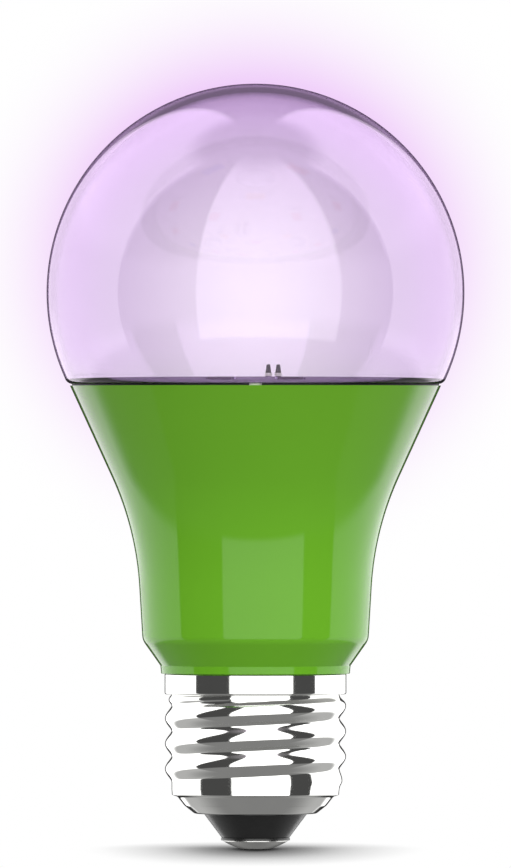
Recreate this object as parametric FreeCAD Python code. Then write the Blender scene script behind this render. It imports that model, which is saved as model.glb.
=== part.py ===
"""Screw-cap LED lamp with a clear violet globe: every piece it is assembled from, one STEP file each.

Millimetres, +Z up. The origin is the middle of the centre contact's flat land, and the lamp's axis is +Z.
"""

import FreeCAD
import Part
import math
import os

# Screw cap: an Edison thread rolled in thin plated brass.
thread_pitch = 3.629
thread_crest_radius = 13.0
thread_depth = 0.95
thread_phase_z = 16.95
thread_fade_end_z = 8.9
thread_fade_length = 1.7
shell_wall = 0.3
shell_floor_z = 5.0
shell_ledge_z = 7.9
shell_floor_width = 4.65
skirt_bottom_z = 22.25
skirt_height = 2.9
skirt_stand_out = 0.05

# Black insulator and the contact that is pressed into it.
insulator_lip_radius = 4.95
insulator_lip_height = 0.37
insulator_top_z = 8.2
contact_radius = 4.62
contact_land_radius = 1.6
contact_head_height = 1.25
contact_rim_height = 0.12
contact_shank_radius = 1.5
contact_shank_top_z = 9.4
contact_bore_radius = 0.7
contact_bore_depth = 4.4

# Green body shell.
body_wall = 1.4
collar_step = 0.49
collar_flare = 0.12
collar_height = 1.15
shoulder_step = 2.57
shoulder_z = 30.0
shoulder_rounding = 2.4
waist_flare = 0.96
waist_z = 45.93
waist_rounding = 44.0
rim_z = 66.55
spigot_bottom_z = 10.3
spigot_wall = 1.25
neck_floor = 0.7

# Globe.
globe_radius = 30.0
globe_centre_rise = 13.12
globe_wall = 1.2
globe_foot_rounding = 1.2
globe_flange_thickness = 1.2
globe_rim_overhang = 0.33
plug_set_in = 3.13
plug_wall = 1.15
plug_depth = 2.08
bead_height = 0.25
bead_half_width = 0.35
bead_drop = 1.37

# Gasket and the key that stops the globe turning.
gasket_thickness = 0.23
gasket_width = 1.9
gasket_set_back = 0.62
key_width = 1.6
key_height = 0.4
key_root = 0.5

# Heat sink, thermal pad and LED board.
sink_wall = 1.0
sink_plate = 1.2
sink_bottom_z = 33.0
sink_hole_radius = 7.0
sink_edge_rounding = 0.3
sink_plug_room = 0.3
pad_thickness = 0.2
pad_margin = 0.5
board_thickness = 1.6
board_play = 0.4
screw_count = 3
screw_circle_radius = 12.8
screw_head_radius = 2.3
screw_head_height = 1.4
screw_head_rounding = 0.55
screw_shank_radius = 1.2
screw_length = 5.0
screw_cross_reach = 1.45
screw_cross_width = 0.55
screw_cross_depth = 0.7
boss_wall = 0.95
boss_height = 2.6

# LEDs, placed in two rings.
led_length = 3.5
led_width = 2.8
led_height = 0.7
led_wall = 0.32
led_cavity_depth = 0.5
led_tab = 0.2
led_tab_width = 1.6
led_edge_margin = 4.7
inner_ring_radius = 8.2

# Supply posts that rise through the LED board.
post_xs = [1.85, 3.27]
post_foot_radius = 0.49
post_tip_radius = 0.25
post_height = 3.4
post_stem_radius = 0.45
post_stem_overlap = 3.5
bushing_half_width = 0.95
bushing_rise = 0.5

# Driver board: a narrow tongue in the cap and a wide part in the neck.
driver_front_y = 0.5
driver_thickness = 1.2
driver_bottom_z = 13.0
driver_tongue_top_z = 27.8
driver_tongue_grip = 0.3
driver_edge_room = 1.43
driver_top_room = 3.67
driver_step = 1.0
lead_radius = 0.3
lead_bend = 0.6
wire_radius = 0.5
wire_bend = 1.2

# Capacitors: radius, length, middle x and lower end z.
input_capacitor = (4.0, 13.0, -6.5, 30.0)
output_capacitor = (3.15, 11.0, -7.4, 47.0)
sleeve_wall = 0.15
capacitor_stand_off = 0.25
capacitor_lead_spread = 1.6
capacitor_lead_drop = 1.3
vent_width = 0.24
vent_depth = 0.2

# Transformer: an E core with its bobbin, winding and pins.
core_wall_room = 1.0
core_y = -6.0
core_z = 50.5
core_width = 13.0
core_thickness = 6.0
core_height = 12.0
core_leg = 4.0
core_outer_leg = 2.2
core_yoke = 2.4
bobbin_wall = 0.5
winding_depth = 1.3
winding_play = 0.15
rail_half_width = 5.6
rail_height = 2.5
pin_count = 4
pin_spacing = 3.0
pin_length = 1.0

# Fusible resistor and drum inductor in the cap.
resistor_x = -4.0
resistor_y = -1.5
resistor_z = 19.0
resistor_radius = 1.3
resistor_waist_radius = 1.1
resistor_length = 7.0
resistor_cap = 1.6
inductor_wall_room = 0.66
inductor_z = 19.5
inductor_radius = 3.4
inductor_length = 6.2
inductor_flange = 0.9
inductor_core_radius = 1.5
inductor_coil_radius = 2.9

# Film capacitor: x and z limits and depth.
film_xs = (1.2, 10.2)
film_zs = (31.0, 39.0)
film_depth = 5.0
film_rounding = 0.5

# Chips on the board's back: middle x and z, width, height, depth, legs on a side and leg width.
bridge_size = (3.0, 34.0, 4.0, 4.7, 2.4, 2, 0.7)
controller_size = (-6.0, 37.5, 3.9, 4.9, 1.5, 4, 0.4)
diode_size = (0.5, 41.2, 4.2, 2.6, 2.1, 1, 1.5)
chip_lift = 0.1
chip_leg_length = 0.8
chip_leg_depth = 0.5

# Wireless module, held off the board's back by its pin strip.
strip_depth = 2.5
strip_height = 2.0
strip_half_width = 5.1
strip_inset = 0.5
module_thickness = 0.8
module_half_width = 6.0
module_bottom_z = 44.4
module_height = 16.0
shield_rise = 3.4
shield_height = 8.8
shield_half_width = 5.0
shield_depth = 1.8
shield_wall = 0.2
radio_size = 5.0
radio_thickness = 0.9
antenna_trace = 0.5
antenna_thickness = 0.08
antenna_bars = 7
antenna_margin = 0.6

# Clearances.
slip_gap = 0.03
press_gap = 0.05
fit_gap = 0.1
hole_gap = 0.2

# Radii and heights that follow from the values above.
thread_root_radius = thread_crest_radius - thread_depth
skirt_radius = thread_crest_radius + skirt_stand_out
skirt_top_z = skirt_bottom_z + skirt_height
shell_hole_radius = thread_root_radius - shell_floor_width
collar_bottom_z = skirt_top_z + press_gap
neck_floor_z = collar_bottom_z + neck_floor
spigot_outer_radius = thread_root_radius - shell_wall - fit_gap
spigot_inner_radius = spigot_outer_radius - spigot_wall
collar_base_radius = skirt_radius + collar_step
shoulder_radius = collar_base_radius + collar_flare + shoulder_step
waist_radius = shoulder_radius + waist_flare
globe_foot_z = rim_z + gasket_thickness
globe_centre_z = globe_foot_z + globe_centre_rise
globe_foot_radius = math.sqrt(globe_radius**2 - globe_centre_rise**2)
rim_radius = globe_foot_radius - globe_rim_overhang
plug_outer_radius = globe_foot_radius - plug_set_in
plug_inner_radius = plug_outer_radius - plug_wall
plug_bottom_z = globe_foot_z - plug_depth
bead_z = globe_foot_z - bead_drop
seat_radius = plug_outer_radius + fit_gap
gasket_outer_radius = globe_foot_radius - gasket_set_back
sink_top_z = plug_bottom_z - sink_plug_room
sink_plate_radius = seat_radius - 5 * fit_gap
board_bottom_z = sink_top_z + pad_thickness
board_top_z = board_bottom_z + board_thickness
board_radius = plug_inner_radius - board_play
led_top_z = board_top_z + led_height
outer_ring_radius = board_radius - led_edge_margin
driver_back_y = driver_front_y + driver_thickness
driver_top_z = board_bottom_z - driver_top_room
driver_tongue_half_width = spigot_inner_radius + driver_tongue_grip
driver_half_width = shoulder_radius - body_wall - fit_gap - sink_wall - driver_edge_room
winding_window = core_height / 2 - core_yoke - slip_gap
neck_inner_radius = waist_radius - body_wall - fit_gap - sink_wall
core_far_y = core_thickness / 2 - core_y
core_x = math.sqrt((neck_inner_radius - core_wall_room) ** 2 - core_far_y**2) - core_width / 2
bore_half_x = core_leg / 2 + slip_gap
bore_half_y = core_thickness / 2 + slip_gap
inductor_reach = math.sqrt((spigot_inner_radius - inductor_wall_room) ** 2 - (inductor_length - driver_front_y) ** 2)
inductor_x = inductor_reach - inductor_radius
resistor_low_z = resistor_z - resistor_length / 2
resistor_high_z = resistor_z + resistor_length / 2
module_y = driver_back_y + strip_depth
module_face_y = module_y + module_thickness
module_top_z = module_bottom_z + module_height
shield_bottom_z = module_bottom_z + shield_rise
shield_top_z = shield_bottom_z + shield_height

# The LEDs' rings: radius, LEDs, first angle and the colours that follow each other round it.
led_rings = [
    (outer_ring_radius, 12, 15.0, ["red", "red", "blue"]),
    (inner_ring_radius, 6, 30.0, ["red", "white"]),
]

UP = FreeCAD.Vector(0, 0, 1)
CENTRE = FreeCAD.Vector(0, 0, 0)


def point(radius, height):
    """A point of an outline, in the XZ plane."""
    return FreeCAD.Vector(radius, 0, height)


def outline(corners):
    """A closed wire through (radius, height) or (radius, height, rounding) corners, rounded by tangent arcs."""
    points = [point(c[0], c[1]) for c in corners]
    roundings = [c[2] if len(c) > 2 else 0 for c in corners]
    count = len(points)
    edges = []
    ends = []
    for i, here in enumerate(points):
        back = (points[i - 1] - here).normalize()
        ahead = (points[(i + 1) % count] - here).normalize()
        if roundings[i] == 0:
            ends.append((here, None, here))
            continue
        half = back.getAngle(ahead) / 2
        reach = roundings[i] / math.tan(half)
        inward = (back + ahead).normalize()
        middle = here + inward * (roundings[i] / math.sin(half) - roundings[i])
        ends.append((here + back * reach, middle, here + ahead * reach))
    for i, (start, middle, finish) in enumerate(ends):
        if middle is not None:
            edges.append(Part.Arc(start, middle, finish).toShape())
        following = ends[(i + 1) % count][0]
        if finish.distanceToPoint(following) > 1e-6:
            edges.append(Part.LineSegment(finish, following).toShape())
    return Part.Wire(edges)


def turned(corners):
    """The solid that an outline sweeps in one turn about the lamp's axis."""
    return Part.Face(outline(corners)).revolve(CENTRE, UP, 360)


def cylinder(radius, bottom, top, x=0, y=0):
    """An upright cylinder."""
    return Part.makeCylinder(radius, top - bottom, FreeCAD.Vector(x, y, bottom), UP)


def block(low, high):
    """A box between two opposite corners."""
    size = [b - a for a, b in zip(low, high)]
    return Part.makeBox(*size, FreeCAD.Vector(*low))


def around_axis(shape, radius, degrees):
    """A copy of a shape that stands at the origin, moved out along +X and then turned about the lamp's axis."""
    copy = shape.copy()
    copy.translate(FreeCAD.Vector(radius, 0, 0))
    copy.rotate(CENTRE, UP, degrees)
    return copy


def wire_along(points, radius, bend):
    """A round wire through the points, with an arc of radius bend at each inner one."""
    path = []
    start = FreeCAD.Vector(*points[0])
    for before, here, after in zip(points, points[1:], points[2:]):
        corner = FreeCAD.Vector(*here)
        back = (FreeCAD.Vector(*before) - corner).normalize()
        ahead = (FreeCAD.Vector(*after) - corner).normalize()
        half = back.getAngle(ahead) / 2
        reach = bend / math.tan(half)
        middle = corner + (back + ahead).normalize() * (bend / math.sin(half) - bend)
        path.append(Part.LineSegment(start, corner + back * reach).toShape())
        path.append(Part.Arc(corner + back * reach, middle, corner + ahead * reach).toShape())
        start = corner + ahead * reach
    path.append(Part.LineSegment(start, FreeCAD.Vector(*points[-1])).toShape())
    spine = Part.Wire(path)
    direction = FreeCAD.Vector(*points[1]) - FreeCAD.Vector(*points[0])
    ring = Part.Wire([Part.makeCircle(radius, FreeCAD.Vector(*points[0]), direction)])
    return spine.makePipeShell([ring], True, False)


def at_height(low, high, height):
    """The point at a height on the straight line through two (radius, height) points."""
    share = (height - low[1]) / (high[1] - low[1])
    return (low[0] + (high[0] - low[0]) * share, height)


def at_radius(low, high, radius):
    """The point at a radius on the straight line through two (radius, height) points."""
    share = (radius - low[0]) / (high[0] - low[0])
    return (radius, low[1] + (high[1] - low[1]) * share)


def inset(chain, distance):
    """A rising chain of (radius, height, rounding) corners moved towards the axis, square to its runs."""
    runs = []
    for a, b in zip(chain, chain[1:]):
        length = math.hypot(b[0] - a[0], b[1] - a[1])
        along = ((b[0] - a[0]) / length, (b[1] - a[1]) / length)
        across = (-along[1] * distance, along[0] * distance)
        runs.append(((a[0] + across[0], a[1] + across[1]), (b[0] + across[0], b[1] + across[1]), along))
    moved = [(*runs[0][0], 0)]
    for (start, _, first), (other, _, second), corner in zip(runs, runs[1:], chain[1:]):
        turn = first[0] * second[1] - first[1] * second[0]
        share = ((other[0] - start[0]) * second[1] - (other[1] - start[1]) * second[0]) / turn
        rounding = corner[2] - math.copysign(distance, turn)
        moved.append((start[0] + first[0] * share, start[1] + first[1] * share, max(rounding, 0)))
    moved.append((*runs[-1][1], 0))
    return moved


def body_chain():
    """The green shell's outer line, from the collar's foot to the rim."""
    return [
        (collar_base_radius, collar_bottom_z, 0),
        (collar_base_radius + collar_flare, collar_bottom_z + collar_height, 0),
        (shoulder_radius, shoulder_z, shoulder_rounding),
        (waist_radius, waist_z, waist_rounding),
        (rim_radius, rim_z, 0),
    ]


def ease(share):
    """A smooth step from 0 to 1."""
    share = min(1, max(0, share))
    return share * share * (3 - 2 * share)


def thread_radius(angle, height):
    """The rolled thread's outer radius. Its last turn fades into the plain wall below it."""
    crest = thread_phase_z + thread_pitch * angle / (2 * math.pi)
    crest += thread_pitch * round((height - crest) / thread_pitch)
    formed = ease((crest - thread_fade_end_z) / thread_fade_length) * ease((height - shell_ledge_z) * 0.7 - 0.4)
    wave = 0.5 + 0.5 * math.cos(2 * math.pi * (height - crest) / thread_pitch)
    return thread_root_radius + (thread_crest_radius - thread_root_radius) * formed * wave


def tube_surface(radius_at, bottom, top):
    """A cubic surface round the axis, closed in the turn, whose radius is a function of angle and height."""
    poles_per_turn = 48
    spans = round((top - bottom) * 16 / thread_pitch)
    knots = [bottom + (top - bottom) * i / spans for i in range(spans + 1)]
    padded = [bottom] * 3 + knots + [top] * 3
    heights = [sum(padded[i + 1 : i + 4]) / 3 for i in range(len(padded) - 4)]
    # A cubic runs inside its poles on a curve, so they stand out by what a circle needs.
    stand_out = 1 / (2 / 3 + math.cos(2 * math.pi / poles_per_turn) / 3)
    poles = []
    for turn in range(poles_per_turn):
        angle = 2 * math.pi * turn / poles_per_turn
        radii = [radius_at(angle, height) * stand_out for height in heights]
        poles.append(
            [FreeCAD.Vector(r * math.cos(angle), r * math.sin(angle), h) for r, h in zip(radii, heights)]
        )
    turns = [2 * math.pi * turn / poles_per_turn for turn in range(poles_per_turn + 1)]
    surface = Part.BSplineSurface()
    surface.buildFromPolesMultsKnots(
        poles, [1] * len(turns), [4] + [1] * (spans - 1) + [4], turns, knots, True, False, 3, 3
    )
    return surface.toShape()


def threaded_tube(bottom, top):
    """The thin threaded wall of the screw shell, open at both ends."""
    outer = tube_surface(thread_radius, bottom, top)
    inner = tube_surface(lambda angle, height: thread_radius(angle, height) - shell_wall, bottom, top)
    faces = [outer, inner]
    for end in (0, -1):
        rings = []
        for face in (outer, inner):
            closed = sorted((e for e in face.Edges if e.isClosed()), key=lambda e: e.CenterOfMass.z)
            rings.append(Part.Wire([closed[end]]))
        faces.append(Part.Face(rings, "Part::FaceMakerBullseye"))
    wall = Part.makeShell(faces)
    wall.sewShape()
    solid = Part.Solid(wall)
    if solid.Volume < 0:
        solid.reverse()
    return solid


def screw_shell():
    """The plated shell: threaded wall, plain skirt above it and dished floor below."""
    # The floor's lip and the skirt's plate end inside the threaded wall, so the three join in one wall.
    lip_outer = thread_root_radius - shell_wall * 0.2
    lip_inner = thread_root_radius - shell_wall * 0.8
    lip_top = shell_ledge_z + 0.4
    floor = turned(
        [
            (shell_hole_radius, shell_floor_z),
            (shell_hole_radius + 1.35, shell_floor_z + 0.1, 0.9),
            (thread_root_radius - 1.85, shell_floor_z + 1.25, 1.2),
            (thread_root_radius - 0.85, shell_ledge_z - 0.38, 0.5),
            (lip_outer, shell_ledge_z - 0.08),
            (lip_outer, lip_top),
            (lip_inner, lip_top),
            (lip_inner, shell_ledge_z - 0.05),
            (thread_root_radius - 1.13, shell_ledge_z - 0.24, 0.3),
            (thread_root_radius - 2.07, shell_floor_z + 1.5, 1.0),
            (shell_hole_radius + 1.2, shell_floor_z + 0.41, 0.7),
            (shell_hole_radius, shell_floor_z + shell_wall),
        ]
    )
    plate = spigot_outer_radius + fit_gap * 0.1
    skirt = turned(
        [
            (plate, skirt_bottom_z),
            (skirt_radius, skirt_bottom_z),
            (skirt_radius, skirt_top_z),
            (skirt_radius - shell_wall, skirt_top_z),
            (skirt_radius - shell_wall, skirt_bottom_z + shell_wall),
            (plate, skirt_bottom_z + shell_wall),
        ]
    )
    return threaded_tube(shell_ledge_z, skirt_bottom_z + shell_wall / 2).fuse([skirt, floor])


def base_insulator():
    """The black cone that keeps the centre contact apart from the shell."""
    bore = contact_shank_radius + press_gap
    neck = shell_hole_radius - press_gap
    lip_top = contact_head_height + insulator_lip_height
    shelf = thread_root_radius - 2.25
    return turned(
        [
            (bore, contact_head_height),
            (insulator_lip_radius, contact_head_height),
            (insulator_lip_radius, lip_top),
            (insulator_lip_radius - fit_gap, lip_top),
            (neck, shell_floor_z - slip_gap, 0.15),
            (neck, shell_floor_z + shell_wall + slip_gap),
            (shell_hole_radius + 1.1, shell_floor_z + 0.48),
            (shelf, shell_floor_z + 1.62),
            (shelf, insulator_top_z),
            (bore, insulator_top_z),
        ]
    )


def centre_contact():
    """The plated contact: a flat-topped domed head on a hollow shank."""
    rim = contact_head_height - contact_rim_height
    middle = (contact_land_radius + contact_radius) / 2
    corners = [
        point(contact_radius, rim),
        point(contact_radius, contact_head_height),
        point(0, contact_head_height),
        point(0, 0),
        point(contact_land_radius, 0),
    ]
    edges = [Part.LineSegment(a, b).toShape() for a, b in zip(corners, corners[1:])]
    edges.append(Part.Arc(corners[-1], point(middle + fit_gap * 2, rim * 0.42), corners[0]).toShape())
    head = Part.Face(Part.Wire(edges)).revolve(CENTRE, UP, 360)
    shank = cylinder(contact_shank_radius, contact_head_height / 2, contact_shank_top_z)
    bore = cylinder(contact_bore_radius, contact_shank_top_z - contact_bore_depth, contact_shank_top_z + 1)
    return head.fuse(shank).removeSplitter().cut(bore)


def key_block(width, low, high):
    """A block at the front of the rim, as wide as asked, across the gasket's width."""
    return block((-width / 2, -gasket_outer_radius, low), (width / 2, gasket_width - gasket_outer_radius, high))


def body_shell():
    """The moulded green shell: the spigot that the cap is crimped on, the neck, and the rim under the globe."""
    outer = body_chain()
    inner = inset(outer, body_wall)
    groove = bead_height + press_gap
    half = bead_half_width + press_gap
    # The seat runs down to the wall's slope, or to a shelf where the slope would reach the globe's plug.
    seat_bottom = plug_bottom_z - fit_gap
    seat_foot = [at_radius(inner[3], inner[4], seat_radius)]
    if seat_foot[0][1] > seat_bottom:
        seat_foot = [(seat_radius, seat_bottom), at_height(inner[3], inner[4], seat_bottom)]
    solid = turned(
        [
            (spigot_inner_radius, spigot_bottom_z),
            (spigot_outer_radius, spigot_bottom_z),
            (spigot_outer_radius, skirt_bottom_z + shell_wall + fit_gap),
            (skirt_radius - shell_wall - press_gap, skirt_bottom_z + shell_wall + fit_gap),
            (skirt_radius - shell_wall - press_gap, collar_bottom_z),
        ]
        + outer
        + [
            (seat_radius, rim_z),
            (seat_radius, bead_z + half + groove),
            (seat_radius + groove, bead_z + half),
            (seat_radius + groove, bead_z - half),
            (seat_radius, bead_z - half - groove),
            *seat_foot,
            inner[3],
            inner[2],
            (spigot_inner_radius, neck_floor_z),
        ]
    )
    edge = driver_tongue_half_width + press_gap
    slots = block(
        (-edge, driver_front_y - press_gap, driver_bottom_z - press_gap),
        (edge, driver_back_y + press_gap, neck_floor_z + 2),
    )
    key = key_block(key_width, rim_z - key_root, rim_z + key_height)
    return solid.cut(slots).fuse(key).removeSplitter()


def sphere_point(radius, angle):
    """The point of the globe's outline at an angle above the sphere's equator."""
    return point(math.cos(angle) * radius, globe_centre_z + math.sin(angle) * radius)


def sphere_arc(radius, start, finish):
    """The arc of the globe's outline between two angles."""
    ends = [sphere_point(radius, angle) for angle in (start, (start + finish) / 2, finish)]
    return Part.Arc(*ends).toShape()


def globe():
    """The clear violet globe, with the foot flange and the beaded plug that snaps into the rim."""
    inner_radius = globe_radius - globe_wall
    flange_top = globe_foot_z + globe_flange_thickness
    inner_foot_angle = math.asin((flange_top - globe_centre_z) / inner_radius)
    # The foot's rounding touches the sphere and the flat underside.
    rounding_z = globe_foot_z + globe_foot_rounding
    touch_angle = math.asin((rounding_z - globe_centre_z) / (globe_radius - globe_foot_rounding))
    rounding_x = math.cos(touch_angle) * (globe_radius - globe_foot_rounding)
    middle_angle = (touch_angle - math.pi / 2) / 2
    middle = point(rounding_x, rounding_z)
    middle += point(math.cos(middle_angle), math.sin(middle_angle)) * globe_foot_rounding
    foot = point(rounding_x, globe_foot_z)
    crown = math.pi / 2
    bead_radius = plug_outer_radius + bead_height
    corners = [
        sphere_point(inner_radius, inner_foot_angle),
        point(plug_inner_radius, flange_top),
        point(plug_inner_radius, plug_bottom_z),
        point(plug_outer_radius, plug_bottom_z),
        point(plug_outer_radius, bead_z - bead_half_width - bead_height),
        point(bead_radius, bead_z - bead_half_width),
        point(bead_radius, bead_z + bead_half_width),
        point(plug_outer_radius, bead_z + bead_half_width + bead_height),
        point(plug_outer_radius, globe_foot_z),
        foot,
    ]
    wall_at_crown = Part.LineSegment(sphere_point(globe_radius, crown), sphere_point(inner_radius, crown))
    edges = [Part.LineSegment(a, b).toShape() for a, b in zip(corners, corners[1:])]
    edges.append(Part.Arc(foot, middle, sphere_point(globe_radius, touch_angle)).toShape())
    edges.append(sphere_arc(globe_radius, touch_angle, crown))
    edges.append(wall_at_crown.toShape())
    edges.append(sphere_arc(inner_radius, crown, inner_foot_angle))
    solid = Part.Face(Part.Wire(edges)).revolve(CENTRE, UP, 360)
    return solid.cut(key_block(key_width + 2 * fit_gap, rim_z, rim_z + key_height + press_gap))


def rim_gasket():
    """The black ring between the globe's foot and the body's rim, open at the key."""
    inner = gasket_outer_radius - gasket_width
    corners = [(inner, rim_z), (gasket_outer_radius, rim_z), (gasket_outer_radius, globe_foot_z), (inner, globe_foot_z)]
    gap = 2 * math.degrees(math.asin((key_width / 2 + fit_gap) / inner))
    ring = Part.Face(outline(corners)).revolve(CENTRE, UP, 360 - gap)
    ring.rotate(CENTRE, UP, gap / 2 - 90)
    return ring


def at_screws(shape):
    """A copy of a shape at each board screw."""
    return [around_axis(shape, screw_circle_radius, 90 + 360 / screw_count * i) for i in range(screw_count)]


def heat_sink():
    """The aluminium cup inside the body: a plate for the LED board and a wall along the shell's."""
    outer = inset(body_chain(), body_wall + fit_gap)
    inner = inset(body_chain(), body_wall + fit_gap + sink_wall)
    plate_bottom = sink_top_z - sink_plate
    # The plate is as wide as the seat lets through, or as the wall's slope lets through below it.
    plate_radius = min(sink_plate_radius, at_height(outer[3], outer[4], sink_top_z - sink_edge_rounding)[0])
    solid = turned(
        [
            at_height(outer[2], outer[3], sink_bottom_z),
            outer[3],
            at_radius(outer[3], outer[4], plate_radius),
            (plate_radius, sink_top_z, sink_edge_rounding),
            (sink_hole_radius, sink_top_z, sink_edge_rounding),
            (sink_hole_radius, plate_bottom),
            at_height(inner[3], inner[4], plate_bottom),
            inner[3],
            at_height(inner[2], inner[3], sink_bottom_z),
        ]
    )
    boss_bottom = plate_bottom - boss_height
    solid = solid.fuse(at_screws(cylinder(screw_shank_radius + boss_wall, boss_bottom, plate_bottom)))
    solid = solid.cut(at_screws(cylinder(screw_shank_radius + slip_gap, boss_bottom - 1, sink_top_z + 1)))
    return solid.removeSplitter()


def thermal_pad():
    """The soft pad between the LED board and the heat sink."""
    pad = cylinder(board_radius - pad_margin, sink_top_z, board_bottom_z)
    pad = pad.cut(cylinder(sink_hole_radius, sink_top_z - 1, board_bottom_z + 1))
    return pad.cut(at_screws(cylinder(screw_shank_radius + hole_gap, sink_top_z - 1, board_bottom_z + 1)))


def slot_block(half_width, bottom, top):
    """An upright round-ended block about both supply posts."""
    middle = block((post_xs[0], -half_width, bottom), (post_xs[-1], half_width, top))
    return middle.fuse([cylinder(half_width, bottom, top, x) for x in post_xs]).removeSplitter()


def led_board():
    """The white aluminium-core board that carries the LEDs."""
    board = cylinder(board_radius, board_bottom_z, board_top_z)
    board = board.cut(slot_block(bushing_half_width + press_gap, board_bottom_z - 1, board_top_z + 1))
    return board.cut(at_screws(cylinder(screw_shank_radius + hole_gap, board_bottom_z - 1, board_top_z + 1)))


def board_screws():
    """The pan-head screws that hold the LED board down."""
    top = board_top_z + screw_head_height
    screw = turned(
        [
            (0, board_top_z - screw_length),
            (screw_shank_radius, board_top_z - screw_length),
            (screw_shank_radius, board_top_z),
            (screw_head_radius, board_top_z),
            (screw_head_radius, top, screw_head_rounding),
            (0, top),
        ]
    )
    half = screw_cross_width / 2
    for reach_x, reach_y in ((screw_cross_reach, half), (half, screw_cross_reach)):
        screw = screw.cut(block((-reach_x, -reach_y, top - screw_cross_depth), (reach_x, reach_y, top + 1)))
    return at_screws(screw)


def led_places():
    """(ring radius, angle in degrees, colour) of each LED."""
    return [
        (radius, first + 360 / count * i, colours[i % len(colours)])
        for radius, count, first, colours in led_rings
        for i in range(count)
    ]


def led_window():
    """The filled cavity of one LED."""
    across = led_width / 2 - led_wall
    along = led_length / 2 - led_wall
    return block((-across, -along, led_top_z - led_cavity_depth), (across, along, led_top_z))


def led_frames():
    """The white reflector cups of the LEDs."""
    frame = block((-led_width / 2, -led_length / 2, board_top_z), (led_width / 2, led_length / 2, led_top_z))
    frame = frame.cut(led_window())
    return [around_axis(frame, radius, angle) for radius, angle, _ in led_places()]


def led_emitters(colour):
    """The coloured fillings of the LEDs of one colour."""
    return [around_axis(led_window(), radius, angle) for radius, angle, kind in led_places() if kind == colour]


def led_tabs():
    """The solder tabs at both ends of each LED."""
    tabs = []
    for start in (-led_length / 2 - led_tab, led_length / 2):
        low = (-led_tab_width / 2, start, board_top_z)
        tabs.append(block(low, (led_tab_width / 2, start + led_tab, board_top_z + led_tab)))
    return [around_axis(tab, radius, angle) for radius, angle, _ in led_places() for tab in tabs]


def supply_posts():
    """The two tapered posts that bring the supply up through the LED board."""
    posts = []
    for x in post_xs:
        base = FreeCAD.Vector(x, 0, board_top_z)
        taper = Part.makeCone(post_foot_radius, post_tip_radius, post_height, base, UP)
        stem = cylinder(post_stem_radius, driver_top_z - post_stem_overlap, board_top_z + fit_gap, x)
        posts.append(taper.fuse(stem).removeSplitter())
    return posts


def post_bushing():
    """The white bushing that keeps the posts clear of the board's aluminium core."""
    bushing = slot_block(bushing_half_width, board_bottom_z, board_top_z + bushing_rise)
    for x in post_xs:
        bushing = bushing.cut(cylinder(post_foot_radius + press_gap, board_bottom_z - 1, board_top_z + 2, x))
    return bushing


def driver_board():
    """The upright board: a narrow tongue in the cap and a wide part in the neck."""
    tongue = block(
        (-driver_tongue_half_width, driver_front_y, driver_bottom_z),
        (driver_tongue_half_width, driver_back_y, driver_tongue_top_z + driver_step),
    )
    wide = block(
        (-driver_half_width, driver_front_y, driver_tongue_top_z + driver_step),
        (driver_half_width, driver_back_y, driver_top_z),
    )
    return tongue.fuse(wide).removeSplitter()


def capacitor_body(size, inset_by):
    """The cylinder of a capacitor that lies along the driver board's front, its wall moved in by a distance."""
    radius, length, x, bottom = size
    y = driver_front_y - capacitor_stand_off - radius
    return cylinder(radius - inset_by, bottom, bottom + length, x, y)


def capacitor_can(size):
    """The aluminium can, with its vent cross on the closed top."""
    radius, length, x, bottom = size
    y = driver_front_y - capacitor_stand_off - radius
    top = bottom + length
    can = capacitor_body(size, sleeve_wall)
    for half_x, half_y in ((radius * 0.6, vent_width / 2), (vent_width / 2, radius * 0.6)):
        can = can.cut(block((x - half_x, y - half_y, top - vent_depth), (x + half_x, y + half_y, top + 1)))
    return can


def capacitor_sleeve(size):
    """The shrunk sleeve round the can."""
    return capacitor_body(size, 0).cut(capacitor_body(size, sleeve_wall))


def capacitor_leads():
    """The leads of both capacitors, bent into the driver board."""
    leads = []
    for radius, _, x, bottom in (input_capacitor, output_capacitor):
        y = driver_front_y - capacitor_stand_off - radius
        low = bottom - capacitor_lead_drop
        for at in (x - capacitor_lead_spread, x + capacitor_lead_spread):
            route = [(at, y, bottom), (at, y, low), (at, driver_front_y, low)]
            leads.append(wire_along(route, lead_radius, lead_bend))
    return leads


def core_box(half_x, half_y, low, high):
    """A box round the transformer's middle."""
    return block((core_x - half_x, core_y - half_y, low), (core_x + half_x, core_y + half_y, high))


def ferrite_core():
    """The two E halves that meet at the core's middle."""
    halves = []
    for side in (-1, 1):
        low, high = sorted((core_z, core_z + side * core_height / 2))
        half = core_box(core_width / 2, core_thickness / 2, low, high)
        low, high = sorted((core_z, core_z + side * (core_height / 2 - core_yoke)))
        window = core_box(core_width / 2 - core_outer_leg, core_thickness, low, high)
        halves.append(half.cut(window.cut(core_box(core_leg / 2, core_thickness, low, high))))
    return halves


def bobbin():
    """The bobbin on the middle leg, with a rail for the pins at each end."""
    flange = bobbin_wall + winding_depth
    low, high = core_z - winding_window, core_z + winding_window
    solids = []
    for bottom in (low, high - bobbin_wall):
        solids.append(core_box(bore_half_x + flange, bore_half_y + flange, bottom, bottom + bobbin_wall))
    front = core_y + bore_half_y
    for bottom in (low + bobbin_wall - rail_height, high - bobbin_wall):
        start = (core_x - rail_half_width, front, bottom)
        solids.append(block(start, (core_x + rail_half_width, driver_front_y - pin_length, bottom + rail_height)))
    tube = core_box(bore_half_x + bobbin_wall, bore_half_y + bobbin_wall, low, high)
    return tube.fuse(solids).cut(core_box(bore_half_x, bore_half_y, low - 1, high + 1)).removeSplitter()


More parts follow.
